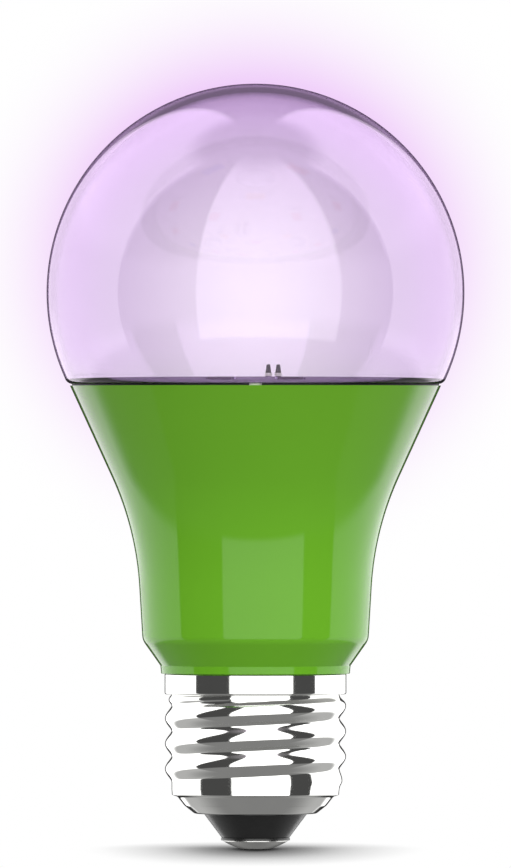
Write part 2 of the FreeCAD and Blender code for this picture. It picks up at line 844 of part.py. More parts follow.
def winding():
    """The taped copper winding."""
    reach = winding_window - bobbin_wall - slip_gap
    half_x = bore_half_x + bobbin_wall
    half_y = bore_half_y + bobbin_wall
    depth = winding_depth - winding_play
    outer = core_box(half_x + depth, half_y + depth, core_z - reach, core_z + reach)
    corners = [e for e in outer.Edges if abs(e.tangentAt(e.FirstParameter).z) > 0.9]
    outer = outer.makeFillet(depth * 0.7, corners)
    return outer.cut(core_box(half_x, half_y, core_z - reach - 1, core_z + reach + 1))


def bobbin_pins():
    """The pins between the bobbin's rails and the driver board."""
    offset = winding_window - bobbin_wall + rail_height / 2
    pins = []
    for z in (core_z - offset, core_z + offset):
        for i in range(pin_count):
            x = core_x + pin_spacing * (i - (pin_count - 1) / 2)
            start = FreeCAD.Vector(x, driver_front_y - pin_length, z)
            pins.append(Part.makeCylinder(lead_radius, pin_length, start, FreeCAD.Vector(0, 1, 0)))
    return pins


def chip(x, z, width, height, depth, legs, leg_width):
    """A moulded chip on the board's back, with legs down its two long sides."""
    low = driver_back_y + chip_lift
    solids = [block((x - width / 2, low, z - height / 2), (x + width / 2, low + depth, z + height / 2))]
    for start in (x - width / 2 - chip_leg_length, x + width / 2):
        for i in range(legs):
            at = z + (i - (legs - 1) / 2) * height / legs
            corner = (start, driver_back_y, at - leg_width / 2)
            opposite = (start + chip_leg_length, driver_back_y + chip_leg_depth, at + leg_width / 2)
            solids.append(block(corner, opposite))
    return solids


def fuse_resistor():
    """The fusible resistor, with its upper lead bent into the board."""
    body = turned(
        [
            (0, resistor_low_z),
            (resistor_radius, resistor_low_z, 0.3),
            (resistor_radius, resistor_low_z + resistor_cap, 0.2),
            (resistor_waist_radius, resistor_low_z + resistor_cap + 0.4, 0.2),
            (resistor_waist_radius, resistor_high_z - resistor_cap - 0.4, 0.2),
            (resistor_radius, resistor_high_z - resistor_cap, 0.2),
            (resistor_radius, resistor_high_z, 0.3),
            (0, resistor_high_z),
        ]
    )
    body.translate(FreeCAD.Vector(resistor_x, resistor_y, 0))
    bend_z = resistor_high_z + 1.4
    route = [(resistor_x, resistor_y, resistor_high_z), (resistor_x, resistor_y, bend_z)]
    upper = wire_along(route + [(resistor_x, driver_front_y, bend_z)], lead_radius, lead_bend)
    lower = cylinder(lead_radius, resistor_low_z - 1, resistor_low_z, resistor_x, resistor_y)
    return [body, upper, lower]


def drum_part(radius, near, far):
    """A cylinder square to the driver board, between two distances in front of it."""
    start = FreeCAD.Vector(inductor_x, driver_front_y - near, inductor_z)
    return Part.makeCylinder(radius, far - near, start, FreeCAD.Vector(0, -1, 0))


def drum_core():
    """The ferrite drum of the input inductor."""
    near = drum_part(inductor_radius, 0, inductor_flange)
    far = drum_part(inductor_radius, inductor_length - inductor_flange, inductor_length)
    middle = drum_part(inductor_core_radius, 0, inductor_length)
    return near.fuse([middle, far]).removeSplitter()


def drum_winding():
    """The copper wound on the drum."""
    near = inductor_flange + slip_gap
    coil = drum_part(inductor_coil_radius, near, inductor_length - near)
    return coil.cut(drum_part(inductor_core_radius + slip_gap, 0, inductor_length))


def film_capacitor():
    """The boxed film capacitor beside the input capacitor."""
    low = (film_xs[0], driver_front_y - film_depth, film_zs[0])
    box = block(low, (film_xs[1], driver_front_y, film_zs[1]))
    corners = [e for e in box.Edges if abs(e.tangentAt(e.FirstParameter).y) > 0.9]
    return box.makeFillet(film_rounding, corners)


def wireless_board():
    """The small board of the wireless module."""
    low = (-module_half_width, module_y, module_bottom_z)
    return block(low, (module_half_width, module_face_y, module_top_z))


def module_strip():
    """The pin strip that carries the module."""
    bottom = module_bottom_z + strip_inset
    return block((-strip_half_width, driver_back_y, bottom), (strip_half_width, module_y, bottom + strip_height))


def module_shield():
    """The pressed can over the module's radio chip."""
    low = (-shield_half_width, module_face_y, shield_bottom_z)
    outer = block(low, (shield_half_width, module_face_y + shield_depth, shield_top_z))
    half = shield_half_width - shield_wall
    low = (-half, module_face_y - 1, shield_bottom_z + shield_wall)
    return outer.cut(block(low, (half, module_face_y + shield_depth - shield_wall, shield_top_z - shield_wall)))


def radio_chip():
    """The radio chip under the shield."""
    bottom = (shield_bottom_z + shield_top_z - radio_size) / 2
    low = (-radio_size / 2, module_face_y, bottom)
    return block(low, (radio_size / 2, module_face_y + radio_thickness, bottom + radio_size))


def module_antenna():
    """The copper meander at the module's upper end."""
    low, high = shield_top_z + antenna_margin, module_top_z - antenna_margin
    first = antenna_margin - shield_half_width
    spacing = -2 * first / (antenna_bars - 1)
    half = antenna_trace / 2
    face = module_face_y + antenna_thickness
    pieces = []
    for i in range(antenna_bars):
        x = first + spacing * i
        pieces.append(block((x - half, module_face_y, low), (x + half, face, high)))
    for i in range(antenna_bars - 1):
        x = first + spacing * i
        bottom = low if i % 2 else high - antenna_trace
        pieces.append(block((x, module_face_y, bottom), (x + spacing, face, bottom + antenna_trace)))
    return pieces[0].fuse(pieces[1:]).removeSplitter()


def live_wire():
    """The wire from the hollow contact to the fusible resistor."""
    end = resistor_low_z - 1
    bore_bottom = contact_shank_top_z - contact_bore_depth
    points = [
        (0, 0, bore_bottom + hole_gap),
        (0, 0, contact_shank_top_z + 1.6),
        (resistor_x, resistor_y, end - 2),
        (resistor_x, resistor_y, end),
    ]
    return wire_along(points, wire_radius, wire_bend)


def neutral_wire():
    """The wire from the driver board's back down to the screw shell's wall, below the spigot."""
    z = (insulator_top_z + spigot_bottom_z) / 2 + fit_gap
    y = driver_back_y + wire_radius
    x = spigot_inner_radius - 4.4
    reach = thread_root_radius - shell_wall - slip_gap
    share = reach / math.hypot(x, y)
    points = [(x, y, driver_bottom_z + 2.5), (x, y, z), (x * share, y * share, z)]
    return wire_along(points, wire_radius, wire_bend)


def save(name, shape):
    """Writes one piece, or a group of identical pieces, to parts/NAME.step."""
    if isinstance(shape, list):
        shape = Part.makeCompound(shape)
    solids = shape.Solids
    for number, solid in enumerate(solids):
        if not solid.isValid() or solid.Volume <= 0:
            raise ValueError(f"{name}: solid {number} is not a good solid")
    whole = solids[0] if len(solids) == 1 else Part.makeCompound(solids)
    whole.exportStep(f"parts/{name}.step")
    print(f"{name}: {len(solids)} solid(s), {sum(s.Volume for s in solids):.2f} mm3")


def main():
    """Makes every piece and writes it."""
    os.makedirs("parts", exist_ok=True)
    pieces = {
        "globe": globe,
        "rim_gasket": rim_gasket,
        "body_shell": body_shell,
        "heat_sink": heat_sink,
        "thermal_pad": thermal_pad,
        "led_board": led_board,
        "board_screws": board_screws,
        "led_frames": led_frames,
        "led_tabs": led_tabs,
        "red_emitters": lambda: led_emitters("red"),
        "blue_emitters": lambda: led_emitters("blue"),
        "white_emitters": lambda: led_emitters("white"),
        "supply_posts": supply_posts,
        "post_bushing": post_bushing,
        "driver_board": driver_board,
        "input_capacitor_can": lambda: capacitor_can(input_capacitor),
        "input_capacitor_sleeve": lambda: capacitor_sleeve(input_capacitor),
        "output_capacitor_can": lambda: capacitor_can(output_capacitor),
        "output_capacitor_sleeve": lambda: capacitor_sleeve(output_capacitor),
        "capacitor_leads": capacitor_leads,
        "ferrite_core": ferrite_core,
        "bobbin": bobbin,
        "winding": winding,
        "bobbin_pins": bobbin_pins,
        "bridge_rectifier": lambda: chip(*bridge_size),
        "controller_chip": lambda: chip(*controller_size),
        "output_diode": lambda: chip(*diode_size),
        "fuse_resistor": fuse_resistor,
        "drum_core": drum_core,
        "drum_winding": drum_winding,
        "film_capacitor": film_capacitor,
        "wireless_board": wireless_board,
        "module_strip": module_strip,
        "module_shield": module_shield,
        "radio_chip": radio_chip,
        "module_antenna": module_antenna,
        "live_wire": live_wire,
        "neutral_wire": neutral_wire,
        "screw_shell": screw_shell,
        "base_insulator": base_insulator,
        "centre_contact": centre_contact,
    }
    for name, make in pieces.items():
        save(name, make())


main()
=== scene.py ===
"""Looks of a smart light bulb: a clear violet globe on a green body with a threaded cap."""

import logging
import math
from dataclasses import dataclass
from enum import Enum
from functools import cache
from typing import Callable, Iterable, Optional, Protocol, Sequence

import bmesh
import bpy
from mathutils import Matrix, Vector


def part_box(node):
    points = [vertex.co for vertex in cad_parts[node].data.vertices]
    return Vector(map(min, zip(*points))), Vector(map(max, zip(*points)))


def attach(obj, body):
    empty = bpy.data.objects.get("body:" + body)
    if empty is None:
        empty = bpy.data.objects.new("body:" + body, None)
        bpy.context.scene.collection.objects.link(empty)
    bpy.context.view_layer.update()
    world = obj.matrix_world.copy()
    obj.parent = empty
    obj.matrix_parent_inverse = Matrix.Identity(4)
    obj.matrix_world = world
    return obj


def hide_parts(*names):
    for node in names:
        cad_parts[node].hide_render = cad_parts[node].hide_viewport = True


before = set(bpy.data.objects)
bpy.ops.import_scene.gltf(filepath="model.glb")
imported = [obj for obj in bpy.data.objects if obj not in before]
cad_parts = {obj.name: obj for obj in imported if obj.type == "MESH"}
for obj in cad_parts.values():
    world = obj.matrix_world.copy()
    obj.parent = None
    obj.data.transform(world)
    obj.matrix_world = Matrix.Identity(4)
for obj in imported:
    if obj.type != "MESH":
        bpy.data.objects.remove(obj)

log = logging.getLogger("light_bulb")

MM = 0.001  # metres in a millimetre
FULL_TURN = 2 * math.pi
ROUND_SEGMENTS = 360  # faces round a large turned piece
SMALL_SEGMENTS = 48  # faces round a small turned piece
CORNER_STEPS = 6  # faces along a rounding
ON_AXIS = 1e-6  # a radius below this, in millimetres, is on the axis
TOUCH = 0.01  # how near, in millimetres, counts as the same height or radius
SHARP_ANGLE = math.radians(38)  # an edge that bends more than this is drawn sharp

Outline = list[tuple[float, float]]
Corner = Sequence[float]
Sockets = dict[object, object]


# ---------------------------------------------------------------- colours and nodes


def linear(hex_colour: str) -> tuple[float, float, float, float]:
    """Turns an sRGB hex colour into linear light.

    Args:
        hex_colour: Six hex digits, with or without a leading hash.

    Returns:
        Red, green, blue and a full alpha.
    """
    digits = hex_colour.lstrip("#")
    parts = [int(digits[i : i + 2], 16) / 255 for i in (0, 2, 4)]
    red, green, blue = [p / 12.92 if p <= 0.04045 else ((p + 0.055) / 1.055) ** 2.4 for p in parts]
    return red, green, blue, 1.0


def add_node(
    tree: bpy.types.NodeTree, kind: str, inputs: Optional[Sockets] = None, **settings: object
) -> bpy.types.Node:
    """Adds one node to a tree.

    Args:
        tree: The shader or geometry tree.
        kind: The node's type name.
        inputs: By input name or number: a socket is linked, anything else is set as it is.
        settings: Attributes of the node itself.

    Returns:
        The new node.
    """
    node = tree.nodes.new(kind)
    for name, value in settings.items():
        setattr(node, name, value)
    for name, value in (inputs or {}).items():
        if isinstance(value, bpy.types.NodeSocket):
            tree.links.new(value, node.inputs[name])
        else:
            node.inputs[name].default_value = value
    return node


def arithmetic(tree: bpy.types.NodeTree, known: Sockets, steps: Sequence[tuple]) -> Sockets:
    """Lays a chain of arithmetic.

    Args:
        tree: The shader or geometry tree.
        known: The sockets to start from, by name.
        steps: Rows of a result's name, its operation and its terms, which are numbers or names.

    Returns:
        The sockets to start from and the results, by name.
    """
    found = dict(known)
    for result, operation, *terms in steps:
        inputs = {i: found.get(term, term) for i, term in enumerate(terms)}
        found[result] = add_node(tree, "ShaderNodeMath", inputs, operation=operation).outputs[0]
    return found


def empty_material(name: str) -> bpy.types.Material:
    """Makes a material with an empty tree.

    Args:
        name: The material's name.

    Returns:
        The material.
    """
    material = bpy.data.materials.new(name)
    material.use_nodes = True
    material.node_tree.nodes.clear()
    return material


# ---------------------------------------------------------------- finishes


class AnyFinish(Protocol):
    """Anything that makes a material."""

    def material(self) -> bpy.types.Material:
        """Makes the material."""


class Grain(Enum):
    """How a finish's fine pattern is laid."""

    MOULDED = "fine orange peel of a moulded plastic"
    GRANULAR = "packed grains, as in phosphor gel, solder and ferrite"
    TURNED = "rings left round the axis by rolling or turning"
    BRUSHED = "streaks along the height"
    WOVEN = "glass cloth under the resin of a circuit board"
    WOUND = "turns of wire or tape side by side"


@dataclass(frozen=True)
class Finish:
    """A surface finish: what the thing is made of and how it was made.

    Sizes are in millimetres. `drift` is the colour that the base wanders to in patches.
    """

    name: str
    colour: str
    drift: str
    roughness: float
    grain: Grain = Grain.MOULDED
    grain_mm: float = 0.4
    patch_mm: float = 6.0
    relief_mm: float = 0.004
    metallic: float = 0.0
    roughness_drift: float = 0.05
    coat: float = 0.0
    specular: float = 0.5

    def _grain(self, tree: bpy.types.NodeTree, place: bpy.types.NodeSocket) -> bpy.types.NodeSocket:
        """Lays the fine pattern.

        Args:
            tree: The material's tree.
            place: Object coordinates.

        Returns:
            A socket from 0 to 1.
        """
        per_metre = 1 / (self.grain_mm * MM)
        if self.grain is Grain.GRANULAR:
            cells = add_node(tree, "ShaderNodeTexVoronoi", {"Scale": per_metre, "Vector": place})
            return cells.outputs["Distance"]
        if self.grain is Grain.MOULDED:
            peel = {"Scale": per_metre, "Detail": 2.0, "Vector": place}
            return add_node(tree, "ShaderNodeTexNoise", peel).outputs[0]
        direction, wander = {
            Grain.TURNED: ("Z", 0.6),
            Grain.BRUSHED: ("DIAGONAL", 4.0),
            Grain.WOVEN: ("X", 0.3),
            Grain.WOUND: ("Z", 0.05),
        }[self.grain]
        threads = {"Scale": per_metre / FULL_TURN, "Distortion": wander, "Vector": place}
        bands = add_node(
            tree,
            "ShaderNodeTexWave",
            threads | {"Detail": 2.0, "Detail Scale": 1.5},
            bands_direction=direction,
        ).outputs["Fac"]
        if self.grain is not Grain.WOVEN:
            return bands
        across = add_node(tree, "ShaderNodeTexWave", threads, bands_direction="Z").outputs["Fac"]
        both = {0: bands, 1: across}
        return add_node(tree, "ShaderNodeMath", both, operation="MULTIPLY").outputs[0]

    def material(self) -> bpy.types.Material:
        """Makes the material, or gives the one already made.

        Returns:
            The material.
        """
        made = bpy.data.materials.get(self.name)
        if made:
            return made
        material = empty_material(self.name)
        tree = material.node_tree
        place = add_node(tree, "ShaderNodeTexCoord").outputs["Object"]
        patches = add_node(
            tree,
            "ShaderNodeTexNoise",
            {"Scale": 1 / (self.patch_mm * MM), "Detail": 3.0, "Vector": place},
        ).outputs[0]
        colour = add_node(
            tree,
            "ShaderNodeMix",
            {0: patches, 6: linear(self.colour), 7: linear(self.drift)},
            data_type="RGBA",
        ).outputs[2]
        rough = add_node(
            tree,
            "ShaderNodeMapRange",
            {
                "To Min": max(self.roughness - self.roughness_drift, 0.02),
                "To Max": min(self.roughness + self.roughness_drift, 1.0),
                "Value": patches,
            },
        ).outputs[0]
        relief = add_node(
            tree,
            "ShaderNodeBump",
            {
                "Strength": 0.6,
                "Distance": self.relief_mm * MM,
                "Height": self._grain(tree, place),
            },
        ).outputs[0]
        surface = add_node(
            tree,
            "ShaderNodeBsdfPrincipled",
            {
                "Metallic": self.metallic,
                "Coat Weight": self.coat,
                "Coat Roughness": 0.08,
                "Specular IOR Level": self.specular,
                "Base Color": colour,
                "Roughness": rough,
                "Normal": relief,
            },
        )
        add_node(tree, "ShaderNodeOutputMaterial", {"Surface": surface.outputs[0]})
        return material


@dataclass(frozen=True)
class TintedClear:
    """Polycarbonate moulded clear with a violet dye, darker the longer the way through it.

    `passed` is the colour left of white light after `depth_mm` of it.
    """

    name: str = "clear_violet_polycarbonate"
    skin: str = "#ffffff"
    passed: str = "#cfbfda"
    depth_mm: float = 3.6
    roughness: float = 0.0
    ior: float = 1.585

    def material(self) -> bpy.types.Material:
        """Makes the dyed clear plastic, or gives the one already made.

        Returns:
            The material.
        """
        made = bpy.data.materials.get(self.name)
        if made:
            return made
        material = empty_material(self.name)
        tree = material.node_tree
        surface = add_node(
            tree,
            "ShaderNodeBsdfPrincipled",
            {
                "Base Color": linear(self.skin),
                "Roughness": self.roughness,
                "IOR": self.ior,
                "Transmission Weight": 1.0,
            },
        )
        losses = [-math.log(c) / (self.depth_mm * MM) for c in linear(self.passed)[:3]]
        density = max(losses)
        dye = add_node(
            tree,
            "ShaderNodeVolumeAbsorption",
            {"Color": [1 - loss / density for loss in losses] + [1.0], "Density": density},
        )
        add_node(
            tree,
            "ShaderNodeOutputMaterial",
            {"Surface": surface.outputs[0], "Volume": dye.outputs[0]},
        )
        return material


# Clear and glossy, violet where it is seen edge-on.
GLOBE_PLASTIC = TintedClear()
# Moulded polycarbonate blend, glossy, with a barely visible orange peel.
BODY_PLASTIC = Finish("green_gloss_plastic", "#65a724", "#67aa26", 0.05, grain_mm=1.2,
                      relief_mm=0.0006, patch_mm=9.0, roughness_drift=0.015, specular=0.28)
# The same plastic, pale and matt, on the key's top faces: a painted highlight.
KEY_PAINTED_HIGHLIGHT = Finish("key_painted_highlight", "#d6eac2", "#c8dfb2", 0.5, grain_mm=0.3,
                          patch_mm=1.0)
# Rolled brass with bright nickel plate, mirror-like, with faint rolling rings.
SHELL_NICKEL = Finish("bright_nickel_plate", "#f2f2ef", "#e9e9e6", 0.07, Grain.TURNED, 0.25,
                      patch_mm=3.0, relief_mm=0.0006, metallic=1.0, roughness_drift=0.02)
# Pressed and nickel-plated, duller where it has rubbed.
CONTACT_NICKEL = Finish("pressed_contact_nickel", "#dededb", "#cfcfcc", 0.3, Grain.GRANULAR, 0.12,
                        patch_mm=1.4, relief_mm=0.003, metallic=1.0, roughness_drift=0.08)
# Pressed thermoset, black and satin.
INSULATOR_BLACK = Finish("pressed_black_thermoset", "#1d1d1d", "#242424", 0.32, grain_mm=0.25,
                         patch_mm=2.5, relief_mm=0.002)
# Black and dull, for the thin dark line along the joint under the globe.
BLACK_JOINT_LINE = Finish("black_joint_line", "#0c0a0d", "#121013", 0.6, grain_mm=0.15)
# Printed solder mask over an aluminium core: white, satin, finely stippled.
BOARD_WHITE = Finish("white_solder_mask", "#eef0ee", "#e4e7e6", 0.38, Grain.GRANULAR, 0.35,
                     patch_mm=5.0)
# Moulded filled nylon, white and nearly matt.
CUP_WHITE = Finish("white_filled_nylon", "#f2f1ec", "#e6e4dc", 0.45, grain_mm=0.2, patch_mm=1.5)
# Phosphor cast in clear gel: grainy, with a wet top.
RED_GEL = Finish("red_phosphor_gel", "#e0532c", "#c73f1f", 0.3, Grain.GRANULAR, 0.12,
                 patch_mm=0.8, relief_mm=0.01, coat=0.5)
BLUE_GEL = Finish("blue_chip_gel", "#3f5fd6", "#2a44b4", 0.25, Grain.GRANULAR, 0.12,
                  patch_mm=0.8, relief_mm=0.01, coat=0.5)
YELLOW_GEL = Finish("yellow_phosphor_gel", "#efc93a", "#dfae22", 0.3, Grain.GRANULAR, 0.12,
                    patch_mm=0.8, relief_mm=0.01, coat=0.5)
# Reflowed tin solder, bright with grey patches.
SOLDER = Finish("bright_solder", "#c9cacb", "#aeb0b2", 0.25, Grain.GRANULAR, 0.2, patch_mm=0.7,
                relief_mm=0.008, metallic=1.0, roughness_drift=0.1)
# Zinc-plated steel, bluish and lightly streaked.
SCREW_STEEL = Finish("zinc_plated_steel", "#c3c6c9", "#aab0b6", 0.22, Grain.BRUSHED, 0.2,
                     patch_mm=1.5, relief_mm=0.002, metallic=1.0, roughness_drift=0.08)
# Turned brass left to oxidise, dark and half dull.
POST_DARK = Finish("oxidised_brass_post", "#33243a", "#281c30", 0.35, Grain.TURNED, 0.15,
                   patch_mm=0.8, relief_mm=0.002, metallic=0.6)
# Deep-drawn aluminium with fine rings.
SINK_ALUMINIUM = Finish("drawn_aluminium", "#c4c7ca", "#b2b6ba", 0.3, Grain.TURNED, 0.3,
                        patch_mm=8.0, metallic=1.0)
# Filled silicone sheet, chalky.
PAD_GREY = Finish("grey_silicone_pad", "#8b9096", "#7d8288", 0.8, grain_mm=0.3, relief_mm=0.01)
# Glass laminate under solder mask: the weave just shows.
LAMINATE_GREEN = Finish("green_glass_laminate", "#2d7a46", "#256b3c", 0.35, Grain.WOVEN, 0.6,
                        relief_mm=0.01, coat=0.3)
LAMINATE_BLACK = Finish("black_glass_laminate", "#1a1c20", "#23262b", 0.35, Grain.WOVEN, 0.5,
                        patch_mm=4.0, relief_mm=0.008, coat=0.3)
# Impact-extruded can, satin with drawing rings.
CAN_ALUMINIUM = Finish("capacitor_can_aluminium", "#cfd1d3", "#bcbec1", 0.25, Grain.TURNED, 0.2,
                       patch_mm=3.0, relief_mm=0.003, metallic=1.0)
# Shrunk film, smooth and slightly glossy.
SLEEVE_BLACK = Finish("black_shrink_sleeve", "#17181c", "#202228", 0.28, grain_mm=0.5,
                      relief_mm=0.003)
# Sintered grains, dark grey and dull.
FERRITE = Finish("sintered_ferrite", "#3b3b3f", "#2f2f33", 0.62, Grain.GRANULAR, 0.15,
                 patch_mm=2.0, relief_mm=0.012)
# Moulded nylon, black and satin.
BOBBIN_BLACK = Finish("moulded_bobbin_nylon", "#26262a", "#2e2e33", 0.45, grain_mm=0.3)
# Wound polyester tape, its turns just visible.
TAPE_YELLOW = Finish("yellow_polyester_tape", "#e8c53c", "#dbb42c", 0.3, Grain.WOUND, 1.2,
                     patch_mm=3.0, relief_mm=0.01)
# Transfer-moulded epoxy, matt black.
CHIP_EPOXY = Finish("black_moulded_epoxy", "#1b1b1d", "#242427", 0.5, grain_mm=0.12)
# Dipped cement coat, blue and slightly uneven.
RESISTOR_COAT = Finish("blue_resistor_coat", "#4f87b5", "#4378a6", 0.35, grain_mm=0.3,
                       relief_mm=0.006)
# Enamelled wire laid turn by turn, glossy.
COPPER_WIRE = Finish("enamelled_copper_wire", "#b8622c", "#a55120", 0.25, Grain.WOUND, 0.35,
                     patch_mm=2.0, relief_mm=0.05, metallic=1.0, coat=0.4)
# Dipped epoxy over film, ochre and smooth.
FILM_YELLOW = Finish("yellow_epoxy_film", "#d9a72b", "#cc9920", 0.35, grain_mm=0.5)
# Stamped tinned steel, lightly streaked.
SHIELD_STEEL = Finish("tinned_shield_steel", "#c9ccd0", "#babdc2", 0.24, Grain.BRUSHED, 0.25,
                      patch_mm=4.0, relief_mm=0.002, metallic=1.0)
# Gilded copper track.
ANTENNA_COPPER = Finish("gilded_antenna_copper", "#d2a24a", "#c4923a", 0.3, grain_mm=0.1,
                        metallic=1.0, patch_mm=1.0)
# Extruded vinyl, satin.
WIRE_RED = Finish("red_wire_vinyl", "#b3241f", "#a01d19", 0.4, grain_mm=0.2)
WIRE_BLACK = Finish("black_wire_vinyl", "#1b1b1b", "#242424", 0.4, grain_mm=0.2)


# ---------------------------------------------------------------- shapes


def rounded(corners: Iterable[Corner], steps: int = CORNER_STEPS, closed: bool = True) -> Outline:
    """Rounds the corners of an outline.

    Args:
        corners: (radius, height) or (radius, height, rounding) in millimetres.
        steps: Faces along each rounding.
        closed: Whether the last corner joins the first.

    Returns:
        The points of the outline, in millimetres.
    """
    corners = [tuple(c) for c in corners]
    points: Outline = []
    for i, corner in enumerate(corners):
        ends = not closed and i in (0, len(corners) - 1)
        if len(corner) < 3 or ends:
            points.append((corner[0], corner[1]))
            continue
        here = Vector(corner[:2])
        back = (Vector(corners[i - 1][:2]) - here).normalized()
        ahead = (Vector(corners[(i + 1) % len(corners)][:2]) - here).normalized()
        half = back.angle(ahead) / 2
        reach = corner[2] / math.tan(half)
        start, finish = here + back * reach, here + ahead * reach
        centre = here + (back + ahead).normalized() * (corner[2] / math.sin(half))
        first, last = start - centre, finish - centre
        swept = first.angle_signed(last)
        for k in range(steps + 1):
            arm = Matrix.Rotation(-swept * k / steps, 2) @ first
            points.append((centre.x + arm.x, centre.y + arm.y))
    return points


def arc(height: float, radius: float, start: float, finish: float, steps: int) -> Outline:
    """Points along an arc whose centre is on the axis.

    Args:
        height: The centre's height, in millimetres.
        radius: The arc's radius, in millimetres.
        start: Its first elevation, in degrees.
        finish: Its last elevation, in degrees.
        steps: Faces along it.

    Returns:
        The points, in millimetres.
    """
    turns = [math.radians(start + (finish - start) * i / steps) for i in range(steps + 1)]
    return [(radius * math.cos(a), height + radius * math.sin(a)) for a in turns]


def finer(points: Outline, longest: float, closed: bool = True) -> Outline:
    """Divides an outline's long runs.

    Args:
        points: The outline.
        longest: The longest run left, in millimetres.
        closed: Whether the last point joins the first.

    Returns:
        The outline with more points.
    """
    result: Outline = []
    pairs = list(zip(points, points[1:] + (points[:1] if closed else [])))
    for (r0, z0), (r1, z1) in pairs:
        parts = max(1, math.ceil(math.hypot(r1 - r0, z1 - z0) / longest))
        result += [(r0 + (r1 - r0) * i / parts, z0 + (z1 - z0) * i / parts) for i in range(parts)]
    return result if closed else result + [points[-1]]


def lathe(
    outline: Outline,
    segments: int = ROUND_SEGMENTS,
    closed: bool = True,
    shift: Optional[Callable[[Vector], Vector]] = None,
) -> bmesh.types.BMesh:
    """Turns an outline round the Z axis.

    Args:
        outline: (radius, height) points in millimetres; a radius of 0 makes a pole.
        segments: Faces round the axis.
        closed: Whether the outline's last point joins its first.
        shift: Moves each point, for a notch or a key.

    Returns:
        The mesh, in metres, with its faces outwards.
    """
    mesh = bmesh.new()
    rings: list[list[bmesh.types.BMVert]] = []
    for radius, height in outline:
        spots = 1 if radius < ON_AXIS else segments
        ring = []
        for k in range(spots):
            turn = FULL_TURN * k / segments - math.pi / 2
            spot = Vector((radius * math.cos(turn), radius * math.sin(turn), height))
            ring.append(mesh.verts.new((shift(spot) if shift else spot) * MM))
        rings.append(ring)
    pairs = list(zip(rings, rings[1:]))
    if closed and not (len(rings[0]) == 1 and len(rings[-1]) == 1):
        pairs.append((rings[-1], rings[0]))
    for lower, upper in pairs:
        for k in range(segments):
            n = (k + 1) % segments
            below = [lower[k % len(lower)], lower[n % len(lower)]]
            face = list(dict.fromkeys(below + [upper[n % len(upper)], upper[k % len(upper)]]))
            if len(face) > 2:
                mesh.faces.new(face)
    bmesh.ops.recalc_face_normals(mesh, faces=mesh.faces)
    return mesh


def loft(rings: Sequence[Sequence[Vector]]) -> bmesh.types.BMesh:
    """Joins rings of the same number of points by faces and fills both ends.

    Args:
        rings: The rings from bottom to top, in metres.

    Returns:
        The mesh with its faces outwards.
    """
    mesh = bmesh.new()
    made = [[mesh.verts.new(spot) for spot in ring] for ring in rings]
    for lower, upper in zip(made, made[1:]):
        for k in range(len(lower)):
            n = (k + 1) % len(lower)
            mesh.faces.new((lower[k], lower[n], upper[n], upper[k]))
    mesh.faces.new(list(reversed(made[0])))
    mesh.faces.new(made[-1])
    bmesh.ops.recalc_face_normals(mesh, faces=mesh.faces)
    return mesh


def plain_mesh(mesh: bmesh.types.BMesh, name: str) -> bpy.types.Mesh:
    """Turns a mesh being edited into plain data.

    Args:
        mesh: The mesh, which is freed.
        name: The data's name.

    Returns:
        The data.
    """
    data = bpy.data.meshes.new(name)
    mesh.to_mesh(data)
    mesh.free()
    return data


def piece(
    name: str,
    mesh: bmesh.types.BMesh | bpy.types.Mesh,
    finish: AnyFinish,
    sharp: Optional[float] = SHARP_ANGLE,
) -> bpy.types.Object:
    """Makes an object of a finished mesh.

    Args:
        name: The piece's name.
        mesh: Its shape, in place.
        finish: What it is made of.
        sharp: The bend past which an edge stays sharp, or None to smooth them all.

    Returns:
        The object, at the origin.
    """
    data = plain_mesh(mesh, name) if isinstance(mesh, bmesh.types.BMesh) else mesh
    data.name = name
    data.shade_smooth()
    if sharp is not None:
        data.set_sharp_from_angle(angle=sharp)
    data.materials.clear()
    data.materials.append(finish.material())
    thing = bpy.data.objects.new(name, data)
    bpy.context.scene.collection.objects.link(thing)
    return thing


def dress_part(thing: bpy.types.Object, finish: Finish, covers: Callable[[Vector], bool]) -> None:
    """Gives some faces of a piece a second finish.

    Args:
        thing: The piece.
        finish: The second finish.
        covers: Whether it covers a face, from the face's middle in millimetres.
    """
    thing.data.materials.append(finish.material())
    for face in thing.data.polygons:
        if covers(face.center / MM):
            face.material_index = 1


def settle(thing: bpy.types.Object, slot: str, *nodes: str) -> bpy.types.Object:
    """Hands a finished piece to the frame.

    Args:
        thing: The piece.
        slot: The record's material slot; not used.
        nodes: The CAD nodes that it stands for.

    Returns:
        The piece.
    """
    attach(thing, "root")
    if nodes:
        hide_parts(*nodes)
    log.info("%s: %d faces", thing.name, len(thing.data.polygons))
    return thing


@cache
def heights(node: str) -> tuple[float, float]:
    """Finds a CAD node's lowest and highest point.

    Args:
        node: The node's name.

    Returns:
        Both heights, in millimetres.
    """
    low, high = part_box(node)
    return low[2] / MM, high[2] / MM


# ---------------------------------------------------------------- geometry rules


